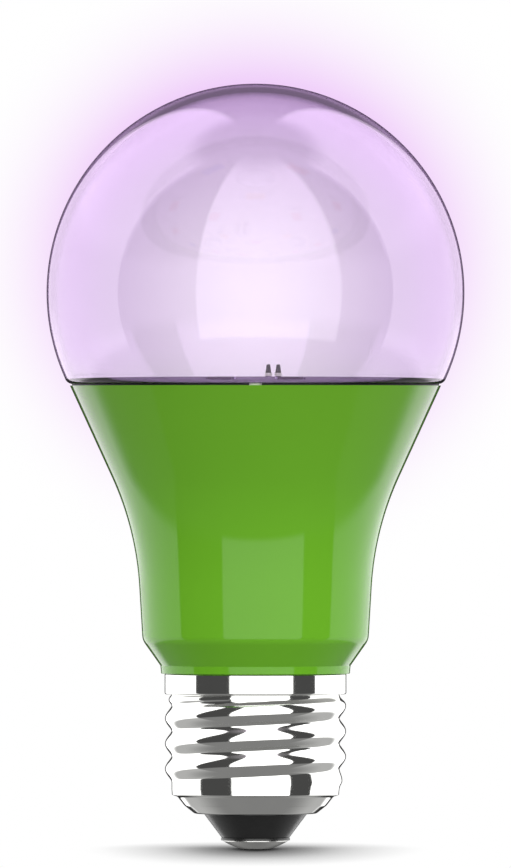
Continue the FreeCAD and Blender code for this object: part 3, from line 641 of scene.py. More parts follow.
class Rule:
    """A geometry tree with named sizes, put on a piece as a modifier and then applied."""

    def __init__(self, name: str, sizes: dict[str, tuple[str, object]]) -> None:
        """Opens the tree.

        Args:
            name: The tree's name.
            sizes: The socket type and value of each named input.
        """
        self.tree = bpy.data.node_groups.new(name, "GeometryNodeTree")
        face = self.tree.interface
        face.new_socket("Geometry", in_out="OUTPUT", socket_type="NodeSocketGeometry")
        face.new_socket("Geometry", in_out="INPUT", socket_type="NodeSocketGeometry")
        self.values = {}
        for title, (kind, value) in sizes.items():
            socket = face.new_socket(title, in_out="INPUT", socket_type=kind)
            self.values[socket.identifier] = value
        self.given = add_node(self.tree, "NodeGroupInput").outputs

    def close(self, shape: bpy.types.NodeSocket, finish: Finish) -> None:
        """Ends the tree.

        Args:
            shape: The geometry made.
            finish: The finish it gets.
        """
        real = add_node(self.tree, "GeometryNodeRealizeInstances", {"Geometry": shape}).outputs[0]
        dressed = add_node(
            self.tree,
            "GeometryNodeSetMaterial",
            {"Geometry": real, "Material": finish.material()},
        )
        add_node(self.tree, "NodeGroupOutput", {0: dressed.outputs[0]})

    def apply(self, start: bpy.types.Mesh) -> bpy.types.Mesh:
        """Runs the tree on a mesh.

        Args:
            start: The mesh it begins from.

        Returns:
            The plain mesh it ends in.
        """
        holder = bpy.data.objects.new("rule_holder", start)
        bpy.context.scene.collection.objects.link(holder)
        modifier = holder.modifiers.new("rule", "NODES")
        modifier.node_group = self.tree
        for identifier, value in self.values.items():
            modifier[identifier] = value
        graph = bpy.context.evaluated_depsgraph_get()
        result = bpy.data.meshes.new_from_object(holder.evaluated_get(graph), depsgraph=graph)
        holder.modifiers.remove(modifier)
        bpy.data.objects.remove(holder)
        return result


@dataclass(frozen=True)
class Ring:
    """Equal places round the Z axis: the radius in millimetres, the first angle in degrees."""

    radius: float
    count: int
    first: float


def ring_of(
    shape: bmesh.types.BMesh, rings: Sequence[Ring], finish: Finish, name: str
) -> bpy.types.Mesh:
    """Repeats a small shape round one or more rings.

    Args:
        shape: The shape, standing at the origin with X pointing outwards.
        rings: Where it goes.
        finish: What it is made of.
        name: The rule's name.

    Returns:
        One mesh of all of them.
    """
    source = bpy.data.objects.new(name + "_one", plain_mesh(shape, name + "_one"))
    bpy.context.scene.collection.objects.link(source)
    joined = bmesh.new()
    for ring in rings:
        rule = Rule(
            name,
            {
                "Shape": ("NodeSocketObject", source),
                "Radius": ("NodeSocketFloat", ring.radius * MM),
                "Count": ("NodeSocketInt", ring.count),
                "First Angle": ("NodeSocketFloat", math.radians(ring.first)),
            },
        )
        tree, given = rule.tree, rule.given
        found = {title: given[title] for title in ("Radius", "Count", "First Angle")}
        found["index"] = add_node(tree, "GeometryNodeInputIndex").outputs[0]
        found = arithmetic(
            tree,
            found,
            (
                ("step", "DIVIDE", FULL_TURN, "Count"),
                ("turn", "MULTIPLY_ADD", "index", "step", "First Angle"),
                ("cosine", "COSINE", "turn"),
                ("sine", "SINE", "turn"),
                ("along", "MULTIPLY", "cosine", "Radius"),
                ("across", "MULTIPLY", "sine", "Radius"),
            ),
        )
        spot = add_node(tree, "ShaderNodeCombineXYZ", {0: found["along"], 1: found["across"]})
        points = add_node(
            tree, "GeometryNodePoints", {"Count": given["Count"], "Position": spot.outputs[0]}
        )
        facing = add_node(tree, "ShaderNodeCombineXYZ", {2: found["turn"]})
        one = add_node(
            tree, "GeometryNodeObjectInfo", {"As Instance": True, "Object": given["Shape"]}
        )
        copies = add_node(
            tree,
            "GeometryNodeInstanceOnPoints",
            {
                "Points": points.outputs[0],
                "Instance": one.outputs["Geometry"],
                "Rotation": facing.outputs[0],
            },
        )
        rule.close(copies.outputs[0], finish)
        joined.from_mesh(rule.apply(bpy.data.meshes.new(name + "_start")))
    bpy.data.objects.remove(source)
    return plain_mesh(joined, name)


# ---------------------------------------------------------------- studio


@dataclass(frozen=True)
class BackLitPaperPaintedShade:
    """White back-lit paper with a painted shadow from ambient occlusion where something stands
    close over it, clear from below.
    """

    name: str = "back_lit_paper_painted_shade"
    light: float = 1.15
    reach: float = 0.02
    depth: float = 1.35

    def material(self) -> bpy.types.Material:
        """Makes the paper.

        Returns:
            The material.
        """
        material = empty_material(self.name)
        tree = material.node_tree
        # Painted shadow: ambient occlusion darkens the paper's own light where the bulb stands
        # close over it.
        openness = add_node(
            tree, "ShaderNodeAmbientOcclusion", {"Distance": self.reach}, samples=32
        ).outputs["AO"]
        painted_shade = arithmetic(tree, {"open": openness}, (("painted_shade", "POWER", "open", self.depth),))
        level = add_node(
            tree,
            "ShaderNodeMath",
            {0: painted_shade["painted_shade"], 1: self.light},
            operation="MULTIPLY",
            use_clamp=True,
        )
        light = add_node(tree, "ShaderNodeEmission", {"Strength": level.outputs[0]})
        clear = add_node(tree, "ShaderNodeBsdfTransparent")
        behind = add_node(tree, "ShaderNodeNewGeometry").outputs["Backfacing"]
        sheet = add_node(
            tree, "ShaderNodeMixShader", {0: behind, 1: light.outputs[0], 2: clear.outputs[0]}
        )
        add_node(tree, "ShaderNodeOutputMaterial", {"Surface": sheet.outputs[0]})
        return material


@dataclass(frozen=True)
class VioletHaloAndPaintedGlow:
    """Violet absorbing air round the globe as a painted halo, and painted glow inside the lit
    globe.

    Lengths are in metres. The core shines white from the globe's middle as a painted highlight, and
    the skin violet as a painted glow on the globe's sides.
    """

    name: str = "violet_haze"
    centre: float = 0.084
    outer: float = 0.048
    density: float = 92.0
    falloff: float = 2.5
    # Painted highlight: a white glow in the globe's middle. Painted glow: violet near the globe's
    # skin.
    highlight_glow_reach: float = 0.021
    highlight_glow_light: float = 12.5
    side_glow_depth: float = 0.007
    side_glow_light: float = 6.0
    rim_start: float = 0.001
    rim_end: float = 0.005
    # Painted halo: the violet that the absorbing air lays over the white room round the globe.
    air: str = "#da00f3"
    core: str = "#f3ffe1"
    skin: str = "#d33fff"

    def material(self) -> bpy.types.Material:
        """Makes the haze.

        Returns:
            The material.
        """
        radius = Globe().radius * MM
        middle = heights("globe")[1] * MM - radius
        rim = heights("rim_gasket")[1] * MM
        material = empty_material(self.name)
        tree = material.node_tree
        place = add_node(tree, "ShaderNodeTexCoord").outputs["Object"]
        from_centre, from_globe = (
            add_node(
                tree, "ShaderNodeVectorMath", {0: place, 1: (0, 0, z)}, operation="DISTANCE"
            ).outputs["Value"]
            for z in (self.centre, middle)
        )
        height = add_node(tree, "ShaderNodeSeparateXYZ", {0: place}).outputs[2]
        found: Sockets = {"from globe": from_globe}
        for ramp, value, start, end, first, last in (
            ("fade", from_centre, 0.0, self.outer, 1.0, 0.0),
            ("core", from_globe, 0.0, self.highlight_glow_reach, self.highlight_glow_light, 0.0),
            ("near skin", from_globe, radius - self.side_glow_depth, radius, 0.0, self.side_glow_light),
            ("above rim", height, rim + self.rim_start, rim + self.rim_end, 0.0, 1.0),
        ):
            limits = {"From Min": start, "From Max": end, "To Min": first, "To Max": last}
            found[ramp] = add_node(
                tree, "ShaderNodeMapRange", limits | {"Value": value}
            ).outputs[0]
        found = arithmetic(
            tree,
            found,
            (
                ("bent", "POWER", "fade", self.falloff),
                ("thick", "MULTIPLY", "bent", self.density),
                ("outside", "GREATER_THAN", "from globe", radius),
                ("density", "MULTIPLY", "thick", "outside"),
                ("inside", "SUBTRACT", 1.0, "outside"),
                ("glow_inside_globe", "MULTIPLY", "above rim", "inside"),
                ("skin", "MULTIPLY", "near skin", "glow_inside_globe"),
            ),
        )
        # Painted halo: violet absorption that tints the white room round the globe like the lit
        # globe's glow.
        volume = add_node(
            tree,
            "ShaderNodeVolumeAbsorption",
            {"Color": linear(self.air), "Density": found["density"]},
        ).outputs[0]
        # Painted highlight and painted glow: emission that stands in for the highlight in the
        # globe's middle and the brighter violet at its sides.
        for colour, strength in ((self.core, found["core"]), (self.skin, found["skin"])):
            light = add_node(
                tree, "ShaderNodeEmission", {"Color": linear(colour), "Strength": strength}
            )
            volume = add_node(
                tree, "ShaderNodeAddShader", {0: volume, 1: light.outputs[0]}
            ).outputs[0]
        add_node(tree, "ShaderNodeOutputMaterial", {"Volume": volume})
        return material


class Angle(Enum):
    """Which angle of a direction a panel's edge is measured on."""

    FROM_FRONT = "away from the camera's side"
    FROM_BACK = "turned from the far side, either way"
    AZIMUTH = "turned from the camera's side, positive to its right"
    ELEVATION = "above the level"


@dataclass(frozen=True)
class Edge:
    """A soft edge of a panel, in degrees: it covers what is past it, or short of it."""

    angle: Angle
    at: float
    border: float
    short: bool = False


@dataclass(frozen=True)
class Panel:
    """A part of the room that shines at one level, for every ray or for one kind of ray."""

    level: float
    edges: tuple[Edge, ...] = ()
    ray: Optional[str] = None


@dataclass
class Studio:
    """White room, a wide soft box in front, black flags beside it, and a long lens.

    Angles are in degrees, lengths of the camera and the floor in metres.
    """

    lens_mm: float = 722.0
    sensor_mm: float = 36.0
    distance: float = 2.5
    eye_height: float = 0.0596
    near_clip: float = 0.05
    far_clip: float = 20.0
    box_left: float = -33.0
    box_right: float = 48.5
    box_low: float = -25.0
    box_high: float = 74.0
    flag_cone: float = 82.0
    back_strip: float = 16.5
    ground_top: float = -24.0
    ground_border: float = 5.0
    rear_reach: float = 34.0
    rear_low: float = -3.0
    rear_high: float = 40.0
    side_low: float = -48.0
    ceiling_low: float = 66.0
    seen_through_height: float = 16.0
    rear_light: float = 1.4
    side_light: float = 1.85
    box_light: float = 2.1
    flag_light: float = 0.07
    strip_light: float = 0.04
    high_strip_light: float = 0.26
    ceiling_light: float = 0.30
    ground_light: float = 0.24
    low_side_light: float = 0.5
    plain_light: float = 1.0
    floor_reach: float = 0.03
    front_fall: float = 6.0
    back_rise: float = 1.6
    floor_spokes: int = 96
    floor_rings: int = 48
    floor_first_ring: float = 0.0005
    floor_growth: float = 1.22
    haze_detail: int = 5

    def camera(self) -> None:
        """Sets up the camera on a long lens, level and square to the bulb."""
        data = bpy.data.cameras.new("camera")
        data.lens = self.lens_mm
        data.sensor_width = self.sensor_mm
        data.clip_start = self.near_clip
        data.clip_end = self.far_clip
        eye = bpy.data.objects.new("camera", data)
        eye.location = (0.0, -self.distance, self.eye_height)
        eye.rotation_euler = (math.pi / 2, 0.0, 0.0)
        bpy.context.scene.collection.objects.link(eye)
        bpy.context.scene.camera = eye

    def panels(self) -> tuple[Panel, ...]:
        """Lists the room's panels, each laid over those before it.

        Returns:
            The panels.
        """
        front, back = Angle.FROM_FRONT, Angle.FROM_BACK
        turn, up = Angle.AZIMUTH, Angle.ELEVATION
        strip = Edge(back, self.back_strip, 1.5, short=True)
        ground = Edge(up, self.ground_top, self.ground_border, short=True)
        rear = (
            Edge(back, self.rear_reach, 9.0, short=True),
            Edge(up, self.rear_low, 3.0),
            Edge(up, self.rear_high, 12.0, short=True),
        )
        low_side = (
            Edge(front, self.flag_cone, 0.8),
            Edge(up, self.side_low, 14.0),
            ground,
            Edge(back, self.back_strip, 4.0),
        )
        window = (
            Edge(turn, self.box_left, 0.8),
            Edge(turn, self.box_right, 0.8, short=True),
            Edge(up, self.box_low, 1.5),
            Edge(up, self.box_high, 9.0, short=True),
        )
        high = Edge(up, self.seen_through_height, 5.0)
        not_high = Edge(up, self.seen_through_height, 5.0, short=True)
        return (
            Panel(self.flag_light, (Edge(front, self.flag_cone, 0.8, short=True),)),
            Panel(self.ceiling_light, (Edge(up, self.ceiling_low, 6.0),)),
            Panel(self.rear_light, rear),
            Panel(self.strip_light, (strip,)),
            Panel(self.high_strip_light, (strip, high)),
            Panel(self.ground_light, (ground,)),
            Panel(self.low_side_light, low_side),
            Panel(self.box_light, window),
            Panel(self.plain_light, (not_high,), "Is Transmission Ray"),
            Panel(self.plain_light, (), "Is Camera Ray"),
        )

    def room(self) -> None:
        """Lights the room by direction and keeps its own look plain white."""
        world = bpy.data.worlds.new("white_room")
        bpy.context.scene.world = world
        world.use_nodes = True
        tree = world.node_tree
        tree.nodes.clear()
        where = add_node(tree, "ShaderNodeTexCoord").outputs["Generated"]
        axes = add_node(tree, "ShaderNodeSeparateXYZ", {0: where}).outputs
        angles = arithmetic(
            tree,
            {"x": axes[0], "y": axes[1], "z": axes[2]},
            (
                ("front", "MULTIPLY", "y", -1.0),
                ("turn from back", "ARCTAN2", "x", "y"),
                (Angle.ELEVATION, "ARCSINE", "z"),
                (Angle.AZIMUTH, "ARCTAN2", "x", "front"),
                (Angle.FROM_BACK, "ABSOLUTE", "turn from back"),
                (Angle.FROM_FRONT, "ARCCOSINE", "front"),
            ),
        )
        rays = add_node(tree, "ShaderNodeLightPath").outputs
        level: float | bpy.types.NodeSocket = self.side_light
        for panel in self.panels():
            share = rays[panel.ray] if panel.ray else 1.0
            for edge in panel.edges:
                covered = add_node(
                    tree,
                    "ShaderNodeMapRange",
                    {
                        "Value": angles[edge.angle],
                        "From Min": math.radians(edge.at - edge.border),
                        "From Max": math.radians(edge.at + edge.border),
                        "To Min": float(edge.short),
                        "To Max": float(not edge.short),
                    },
                    interpolation_type="SMOOTHSTEP",
                ).outputs[0]
                both = {0: share, 1: covered}
                share = add_node(tree, "ShaderNodeMath", both, operation="MULTIPLY").outputs[0]
            blend = {0: share, 2: level, 3: panel.level}
            level = add_node(tree, "ShaderNodeMix", blend, data_type="FLOAT").outputs[0]
        light = add_node(
            tree, "ShaderNodeBackground", {"Color": linear("#ffffff"), "Strength": level}
        )
        add_node(tree, "ShaderNodeOutputWorld", {0: light.outputs[0]})
        bpy.context.scene.view_settings.view_transform = "Standard"

    def floor(self) -> None:
        """Lays a pale floor that falls away a little in front, so the painted shadow on it shows.
        """
        mesh = bmesh.new()
        spokes = self.floor_spokes
        growth = [self.floor_growth**k for k in range(self.floor_rings)]
        rings = []
        for away in [0.0] + [self.floor_first_ring * times for times in growth]:
            ring = []
            for k in range(spokes if away else 1):
                turn = FULL_TURN * k / spokes
                x, y = away * math.cos(turn), away * math.sin(turn)
                slope = math.tan(math.radians(self.front_fall if y < 0 else self.back_rise))
                held = self.floor_reach / math.hypot(away, self.floor_reach)
                ring.append(mesh.verts.new((x, y, y * slope * held)))
            rings.append(ring)
        for lower, upper in zip(rings, rings[1:]):
            for k in range(spokes):
                n = (k + 1) % spokes
                corners = [lower[k % len(lower)], upper[k], upper[n], lower[n % len(lower)]]
                mesh.faces.new(list(dict.fromkeys(corners)))
        floor = piece("pale_floor", mesh, BackLitPaperPaintedShade(), None)
        floor.visible_glossy = False
        floor.visible_transmission = False
        floor.visible_diffuse = False

    def glow(self) -> None:
        """Hangs the haze round the globe: a painted violet halo outside it and painted glow inside
        it.
        """
        air = VioletHaloAndPaintedGlow()
        mesh = bmesh.new()
        bmesh.ops.create_icosphere(mesh, subdivisions=self.haze_detail, radius=air.outer)
        bmesh.ops.translate(mesh, verts=mesh.verts, vec=(0, 0, air.centre))
        haze = piece(air.name, mesh, air, None)

    def build(self) -> None:
        """Builds the room, the floor, the haze and the camera."""
        self.camera()
        self.room()
        self.floor()
        self.glow()
        log.info("studio: room, floor, haze and camera")


# ---------------------------------------------------------------- the bulb


@dataclass(frozen=True)
class Key:
    """The small key at the front of the body's rim, in the globe's notch, in millimetres."""

    half_width: float = 0.8
    room: float = 0.1
    inner: float = 24.46
    outer: float = 26.36

    def holds(self, spot: Vector, extra: float) -> bool:
        """Says whether a point stands at the key's place.

        Args:
            spot: The point, in millimetres.
            extra: How much wider the place is taken on each side, in millimetres.

        Returns:
            True if it does.
        """
        away = math.hypot(spot.x, spot.y)
        between = self.inner - TOUCH < away < self.outer + TOUCH
        return spot.y < 0 and abs(spot.x) < self.half_width + extra and between


@dataclass
class Globe:
    """The clear violet globe: a truncated ball with a flange and a plug, in millimetres."""

    radius: float = 30.0
    wall: float = 1.2
    flange: float = 1.2
    foot_rounding: float = 1.2
    corner_share: float = 1.2
    seat_width: float = 1.0
    plug_inner: float = 22.70
    plug_outer: float = 23.85
    bead: float = 24.10
    bead_half: float = 0.35
    bead_lift: float = 0.71
    notch_lift: float = 0.26
    outer_faces: int = 110
    inner_faces: int = 90
    longest_run: float = 0.6
    key: Key = Key()

    def outline(self) -> Outline:
        """Draws the section, from the foot up the outside and down the inside.

        Returns:
            The closed outline, in millimetres.
        """
        bottom, top = heights("globe")
        rim = heights("rim_gasket")[1]
        centre = top - self.radius
        foot = math.sqrt(self.radius**2 - (centre - rim) ** 2)
        tangent = Vector((centre - rim, foot)).normalized()
        ahead = Vector((foot, rim)) + tangent * self.foot_rounding * self.corner_share
        seat = (self.plug_outer + self.seat_width, rim)
        turned = [seat, (foot, rim, self.foot_rounding), tuple(ahead)]
        corner = rounded(turned, closed=False)[:-1]
        start = math.degrees(math.asin((ahead.y - centre) / self.radius))
        outside = arc(centre, self.radius, start, 90, self.outer_faces)
        outside[-1] = (0.0, top)
        inner = self.radius - self.wall
        floor_z = rim + self.flange
        finish = math.degrees(math.asin((floor_z - centre) / inner))
        inside = arc(centre, inner, 90, finish, self.inner_faces)
        inside[0] = (0.0, top - self.wall)
        bead_z = bottom + self.bead_lift
        plug = [
            (self.plug_inner, floor_z),
            (self.plug_inner, bottom),
            (self.plug_outer, bottom),
            (self.plug_outer, bead_z - self.bead_half),
            (self.bead, bead_z),
            (self.plug_outer, bead_z + self.bead_half),
            (self.plug_outer, rim),
        ]
        under = finer([inside[-1]] + plug + [corner[0]], self.longest_run, closed=False)
        return corner + outside + inside + under[1:-1]

    def notch(self, spot: Vector) -> Vector:
        """Lifts the foot over the key.

        Args:
            spot: A point of the globe, in millimetres.

        Returns:
            Where it goes.
        """
        rim = heights("rim_gasket")[1]
        if abs(spot.z - rim) < TOUCH and self.key.holds(spot, self.key.room):
            return Vector((spot.x, spot.y, spot.z + self.notch_lift))
        return spot

    def build(self) -> None:
        """Builds the globe."""
        mesh = lathe(self.outline(), shift=self.notch)
        settle(piece("globe_clear", mesh, GLOBE_PLASTIC), "clear_violet_plastic", "globe")


@dataclass
class Body:
    """The green body: collar, chamfer, neck and flare with its rim, in millimetres."""

    collar: float = 13.54
    collar_top: float = 13.66
    collar_height: float = 1.15
    collar_gap: float = 0.05
    collar_edge: float = 0.1
    collar_rounding: float = 0.25
    neck: float = 16.23
    neck_z: float = 30.0
    neck_rounding: float = 2.4
    waist: float = 17.19
    waist_z: float = 45.93
    flare_rounding: float = 44.0
    rim: float = 26.649
    rim_land: float = 0.3
    wall: float = 1.4
    waist_thinning: float = 0.1
    inner_neck_lift: float = 0.4
    inner_neck_rounding: float = 1.4
    seat: float = 23.95
    seat_z: float = 64.65
    seat_ledge: float = 1.9
    seat_slope: float = 0.3
    spigot_outer: float = 11.65
    spigot_inner: float = 10.40
    spigot_lift: float = 1.2
    spigot_rounding: float = 0.5
    longest_run: float = 1.0
    seal_rounding: float = 0.06
    seal_turns: int = 240
    key: Key = Key()

    def outline(self) -> Outline:
        """Draws the section: up the outside, over the rim, down the inside, round the spigot.

        Returns:
            The closed outline, in millimetres.
        """
        low = heights("body_shell")[0]
        rim_z = heights("rim_gasket")[0]
        foot = heights("screw_shell")[1] + self.collar_gap
        outside = [
            (self.spigot_outer, foot),
            (self.collar, foot, self.collar_edge),
            (self.collar_top, foot + self.collar_height, self.collar_rounding),
            (self.neck, self.neck_z, self.neck_rounding),
            (self.waist, self.waist_z, self.flare_rounding),
            (self.rim, rim_z),
        ]
        inner_waist = self.waist - self.wall + self.waist_thinning
        inner_neck = self.neck_z + self.inner_neck_lift
        inside = [
            (self.rim - self.rim_land, rim_z),
            (self.seat, rim_z),
            (self.seat, self.seat_z),
            (self.rim - self.seat_ledge, self.seat_z - self.seat_slope),
            (inner_waist, self.waist_z, self.flare_rounding - 1),
            (self.neck - self.wall, inner_neck, self.inner_neck_rounding),
            (self.spigot_inner, foot + self.spigot_lift, self.spigot_rounding),
            (self.spigot_inner, low),
            (self.spigot_outer, low),
            (self.spigot_outer, foot),
        ]
        outer = rounded(outside, steps=28, closed=False)
        inner = rounded(inside, steps=16, closed=False)
        return finer(outer + inner[:-1], self.longest_run)

    def key_lift(self, spot: Vector) -> Vector:
        """Raises the key above the rim.

        Args:
            spot: A point of the body, in millimetres.

        Returns:
            Where it goes.
        """
        rim_z = heights("rim_gasket")[0]
        if abs(spot.z - rim_z) < TOUCH and self.key.holds(spot, self.key.room / 2):
            return Vector((spot.x, spot.y, heights("body_shell")[1]))
        return spot

    def seal(self) -> None:
        """Builds the thin seal on the rim, open where the key passes."""
        low, high = heights("rim_gasket")
        middle = (self.key.inner + self.key.outer) / 2
        gap = math.degrees((self.key.half_width + self.key.room) / middle)
        inner, outer, bend = self.key.inner, self.key.outer, self.seal_rounding
        corners = [(inner, low), (outer, low), (outer, high), (inner, high)]
        section = rounded([corner + (bend,) for corner in corners], steps=3)
        rings = []
        for k in range(self.seal_turns + 1):
            turn = math.radians(-90 + gap + (360 - 2 * gap) * k / self.seal_turns)
            c, s = math.cos(turn), math.sin(turn)
            rings.append([Vector((r * c, r * s, z)) * MM for r, z in section])
        settle(piece("rim_seal", loft(rings), BLACK_JOINT_LINE), "black_rubber", "rim_gasket")

    def build(self) -> None:
        """Builds the body with a painted highlight on its key, and the rim seal."""
        body = piece("body_green", lathe(self.outline(), shift=self.key_lift), BODY_PLASTIC)
        rim_z = heights("rim_gasket")[0]
        # Painted highlight: the key's top faces get the pale finish.
        dress_part(body, KEY_PAINTED_HIGHLIGHT, lambda spot: spot.z > rim_z + TOUCH)
        settle(body, "green_plastic", "body_shell")
        self.seal()


@dataclass
class ScrewCap:
    """The threaded shell, its insulator and its centre contact, in millimetres.

    The bowl's and the insulator's corners are (radius, height above the foot, rounding).
    """

    pitch: float = 3.629
    crest: float = 13.0
    root: float = 12.05
    root_lift: float = 3.6
    root_rounding: float = 0.3
    crest_fullness: float = 1.35
    first_crest: float = 16.95
    thread_low: float = 8.9
    thread_high: float = 22.4
    thread_ease: float = 1.7
    tube_bottom: float = 8.47
    tube_top: float = 22.25
    tube_ease: float = 1.43
    wall: float = 0.3
    skirt: float = 13.05
    skirt_inner_rounding: float = 0.15
    skirt_rounding: float = 0.25
    shell_segments: int = 264
    shell_run: float = 0.17
    bowl: tuple[Corner, ...] = (
        (7.4, 0.02),
        (8.75, 0.1, 0.9),
        (10.2, 1.25, 1.2),
        (11.2, 2.52, 0.5),
        (11.99, 2.80, 0.2),
    )
    cone: tuple[Corner, ...] = (
        (1.55, 0.0),
        (4.95, 0.0, 0.05),
        (4.95, 0.37, 0.08),
        (4.85, 0.37),
        (7.35, 3.72, 0.15),
        (7.35, 4.08),
        (8.5, 4.23),
        (9.8, 5.37),
        (9.8, 6.95),
        (1.55, 6.95),
    )
    cone_segments: int = 200
    cone_run: float = 0.8
    contact_land: float = 1.6
    contact_rim: float = 4.62
    contact_rise: float = 1.13
    contact_edge: float = 1.25
    contact_rivet: float = 1.5
    contact_bend: float = 1.6
    contact_faces: int = 14
    contact_segments: int = 120

    def shell_rule(self) -> Rule:
        """Makes the rule of the rolled thread: a helix pushed outwards, eased at its ends.

        Returns:
            The rule.
        """
        depth = self.crest - self.root
        lengths = {
            "Pitch": self.pitch,
            "Depth": depth,
            "Crest Height": self.first_crest,
            "Start Height": self.thread_low,
            "Start Length": self.thread_ease,
            "Tube Bottom": self.tube_bottom,
            "Tube Top": self.thread_high,
            "Tube Ease": self.tube_ease,
        }
        sizes = {title: ("NodeSocketFloat", value * MM) for title, value in lengths.items()}
        sizes["Crest Fullness"] = ("NodeSocketFloat", self.crest_fullness)
        rule = Rule("rolled_thread", sizes)
        tree = rule.tree
        place = add_node(tree, "GeometryNodeInputPosition").outputs[0]
        axes = add_node(tree, "ShaderNodeSeparateXYZ", {0: place}).outputs
        found = {title: rule.given[title] for title in sizes}
        found |= {"x": axes[0], "y": axes[1], "z": axes[2]}
        found = arithmetic(
            tree,
            found,
            (
                ("angle", "ARCTAN2", "y", "x"),
                ("turn", "DIVIDE", "angle", FULL_TURN),
                ("lowest", "MULTIPLY_ADD", "turn", "Pitch", "Crest Height"),
                ("climb", "SUBTRACT", "z", "lowest"),
                ("turns up", "DIVIDE", "climb", "Pitch"),
                ("phase", "MULTIPLY", "turns up", math.pi),
                ("wave", "COSINE", "phase"),
                ("ridge", "ABSOLUTE", "wave"),
                ("bulge", "POWER", "ridge", "Crest Fullness"),
                ("whole turns", "ROUND", "turns up"),
                ("crest", "MULTIPLY_ADD", "whole turns", "Pitch", "lowest"),
                ("crest past start", "SUBTRACT", "crest", "Start Height"),
                ("begun", "DIVIDE", "crest past start", "Start Length"),
                ("past bottom", "SUBTRACT", "z", "Tube Bottom"),
                ("clear", "DIVIDE", "past bottom", "Tube Ease"),
                ("under top", "SUBTRACT", "Tube Top", "z"),
                ("ending", "DIVIDE", "under top", "Tube Ease"),
                ("push", "MULTIPLY", "bulge", "Depth"),
            ),
        )
        push = found["push"]
        for share in ("begun", "clear", "ending"):
            eased = add_node(
                tree,
                "ShaderNodeMapRange",
                {"Value": found[share]},
                interpolation_type="SMOOTHSTEP",
            ).outputs[0]
            both = {0: push, 1: eased}
            push = add_node(tree, "ShaderNodeMath", both, operation="MULTIPLY").outputs[0]
        flat = add_node(tree, "ShaderNodeCombineXYZ", {0: axes[0], 1: axes[1]}).outputs[0]
        outward = add_node(
            tree, "ShaderNodeVectorMath", {0: flat}, operation="NORMALIZE"
        ).outputs[0]
        offset = add_node(
            tree, "ShaderNodeVectorMath", {0: outward, "Scale": push}, operation="SCALE"
        ).outputs[0]
        moved = add_node(
            tree,
            "GeometryNodeSetPosition",
            {"Geometry": rule.given["Geometry"], "Offset": offset},
        )
        rule.close(moved.outputs[0], SHELL_NICKEL)
        return rule

    def shell(self) -> None:
        """Builds the shell: rolled lip and bowl, threaded tube, and the skirt."""
        low, high = heights("screw_shell")
        outline = rounded(
            self.raised(self.bowl, low)
            + [
                (self.root, low + self.root_lift, self.root_rounding),
                (self.root, self.tube_top, self.skirt_inner_rounding),
                (self.skirt, self.tube_top, self.skirt_rounding),
                (self.skirt, high),
            ],
            steps=8,
            closed=False,
        )
        fine = finer(outline, self.shell_run, closed=False)
        mesh = lathe(fine, segments=self.shell_segments, closed=False)
        threaded = self.shell_rule().apply(plain_mesh(mesh, "shell_start"))
        shell = piece("screw_shell_plated", threaded, SHELL_NICKEL, None)
        away = sum(
            face.normal.dot(Vector((face.center.x, face.center.y, 0))) * face.area
            for face in threaded.polygons
        )
        if away < 0:
            threaded.flip_normals()
        sheet = shell.modifiers.new("sheet", "SOLIDIFY")
        sheet.thickness = self.wall * MM
        sheet.offset = -1.0
        sheet.use_even_offset = True
        settle(shell, "nickel_brass", "screw_shell")

    @staticmethod
    def raised(corners: Iterable[Corner], foot: float) -> list[Corner]:
        """Lifts corners that are given above a foot, all in millimetres."""
        return [(corner[0], corner[1] + foot, *corner[2:]) for corner in corners]

    def insulator(self) -> None:
        """Builds the black insulator cone."""
        low = heights("base_insulator")[0]
        outline = finer(rounded(self.raised(self.cone, low)), self.cone_run)
        cone = piece("insulator_cone", lathe(outline, self.cone_segments), INSULATOR_BLACK)
        settle(cone, "black_insulator", "base_insulator")

    def contact(self) -> None:
        """Builds the centre contact: a flat land, a dished rim and the rivet behind it."""
        low, high = heights("centre_contact")
        reach = self.contact_rim - self.contact_land
        shares = [i / self.contact_faces for i in range(self.contact_faces + 1)]
        dish = [
            (self.contact_land + reach * share, low + self.contact_rise * share**self.contact_bend)
            for share in shares
        ]
        edge = low + self.contact_edge
        back = [(self.contact_rim, edge), (self.contact_rivet, edge), (self.contact_rivet, high)]
        outline = [(0.0, low)] + dish + back + [(0.0, high)]
        disc = piece("contact_disc", lathe(outline, self.contact_segments), CONTACT_NICKEL)
        settle(disc, "contact_nickel", "centre_contact")

    def build(self) -> None:
        """Builds the cap."""
        self.shell()
        self.insulator()
        self.contact()


def circle(radius: float, height: float, count: int) -> list[Vector]:
    """Sets points on a circle round the axis.

    Args:
        radius: Its radius, in millimetres.
        height: Its height, in millimetres.
        count: Number of points.

    Returns:
        The points, in metres.
    """
    turns = [FULL_TURN * k / count for k in range(count)]
    return [Vector((radius * math.cos(a), radius * math.sin(a), height)) * MM for a in turns]


def rectangle(
    across: float, along: float, height: float, squareness: float, count: int
) -> list[Vector]:
    """Sets points on a rectangle with rounded corners.

    Args:
        across: Width along X, in millimetres.
        along: Length along Y, in millimetres.
        height: The points' height, in millimetres.
        squareness: 2 is an ellipse, more is squarer.
        count: Number of points.

    Returns:
        The points, in metres.
    """
    spots = []
    for k in range(count):
        turn = FULL_TURN * k / count
        c, s = math.cos(turn), math.sin(turn)
        x = math.copysign(abs(c) ** (2 / squareness), c) * across / 2
        y = math.copysign(abs(s) ** (2 / squareness), s) * along / 2
        spots.append(Vector((x, y, height)) * MM)
    return spots


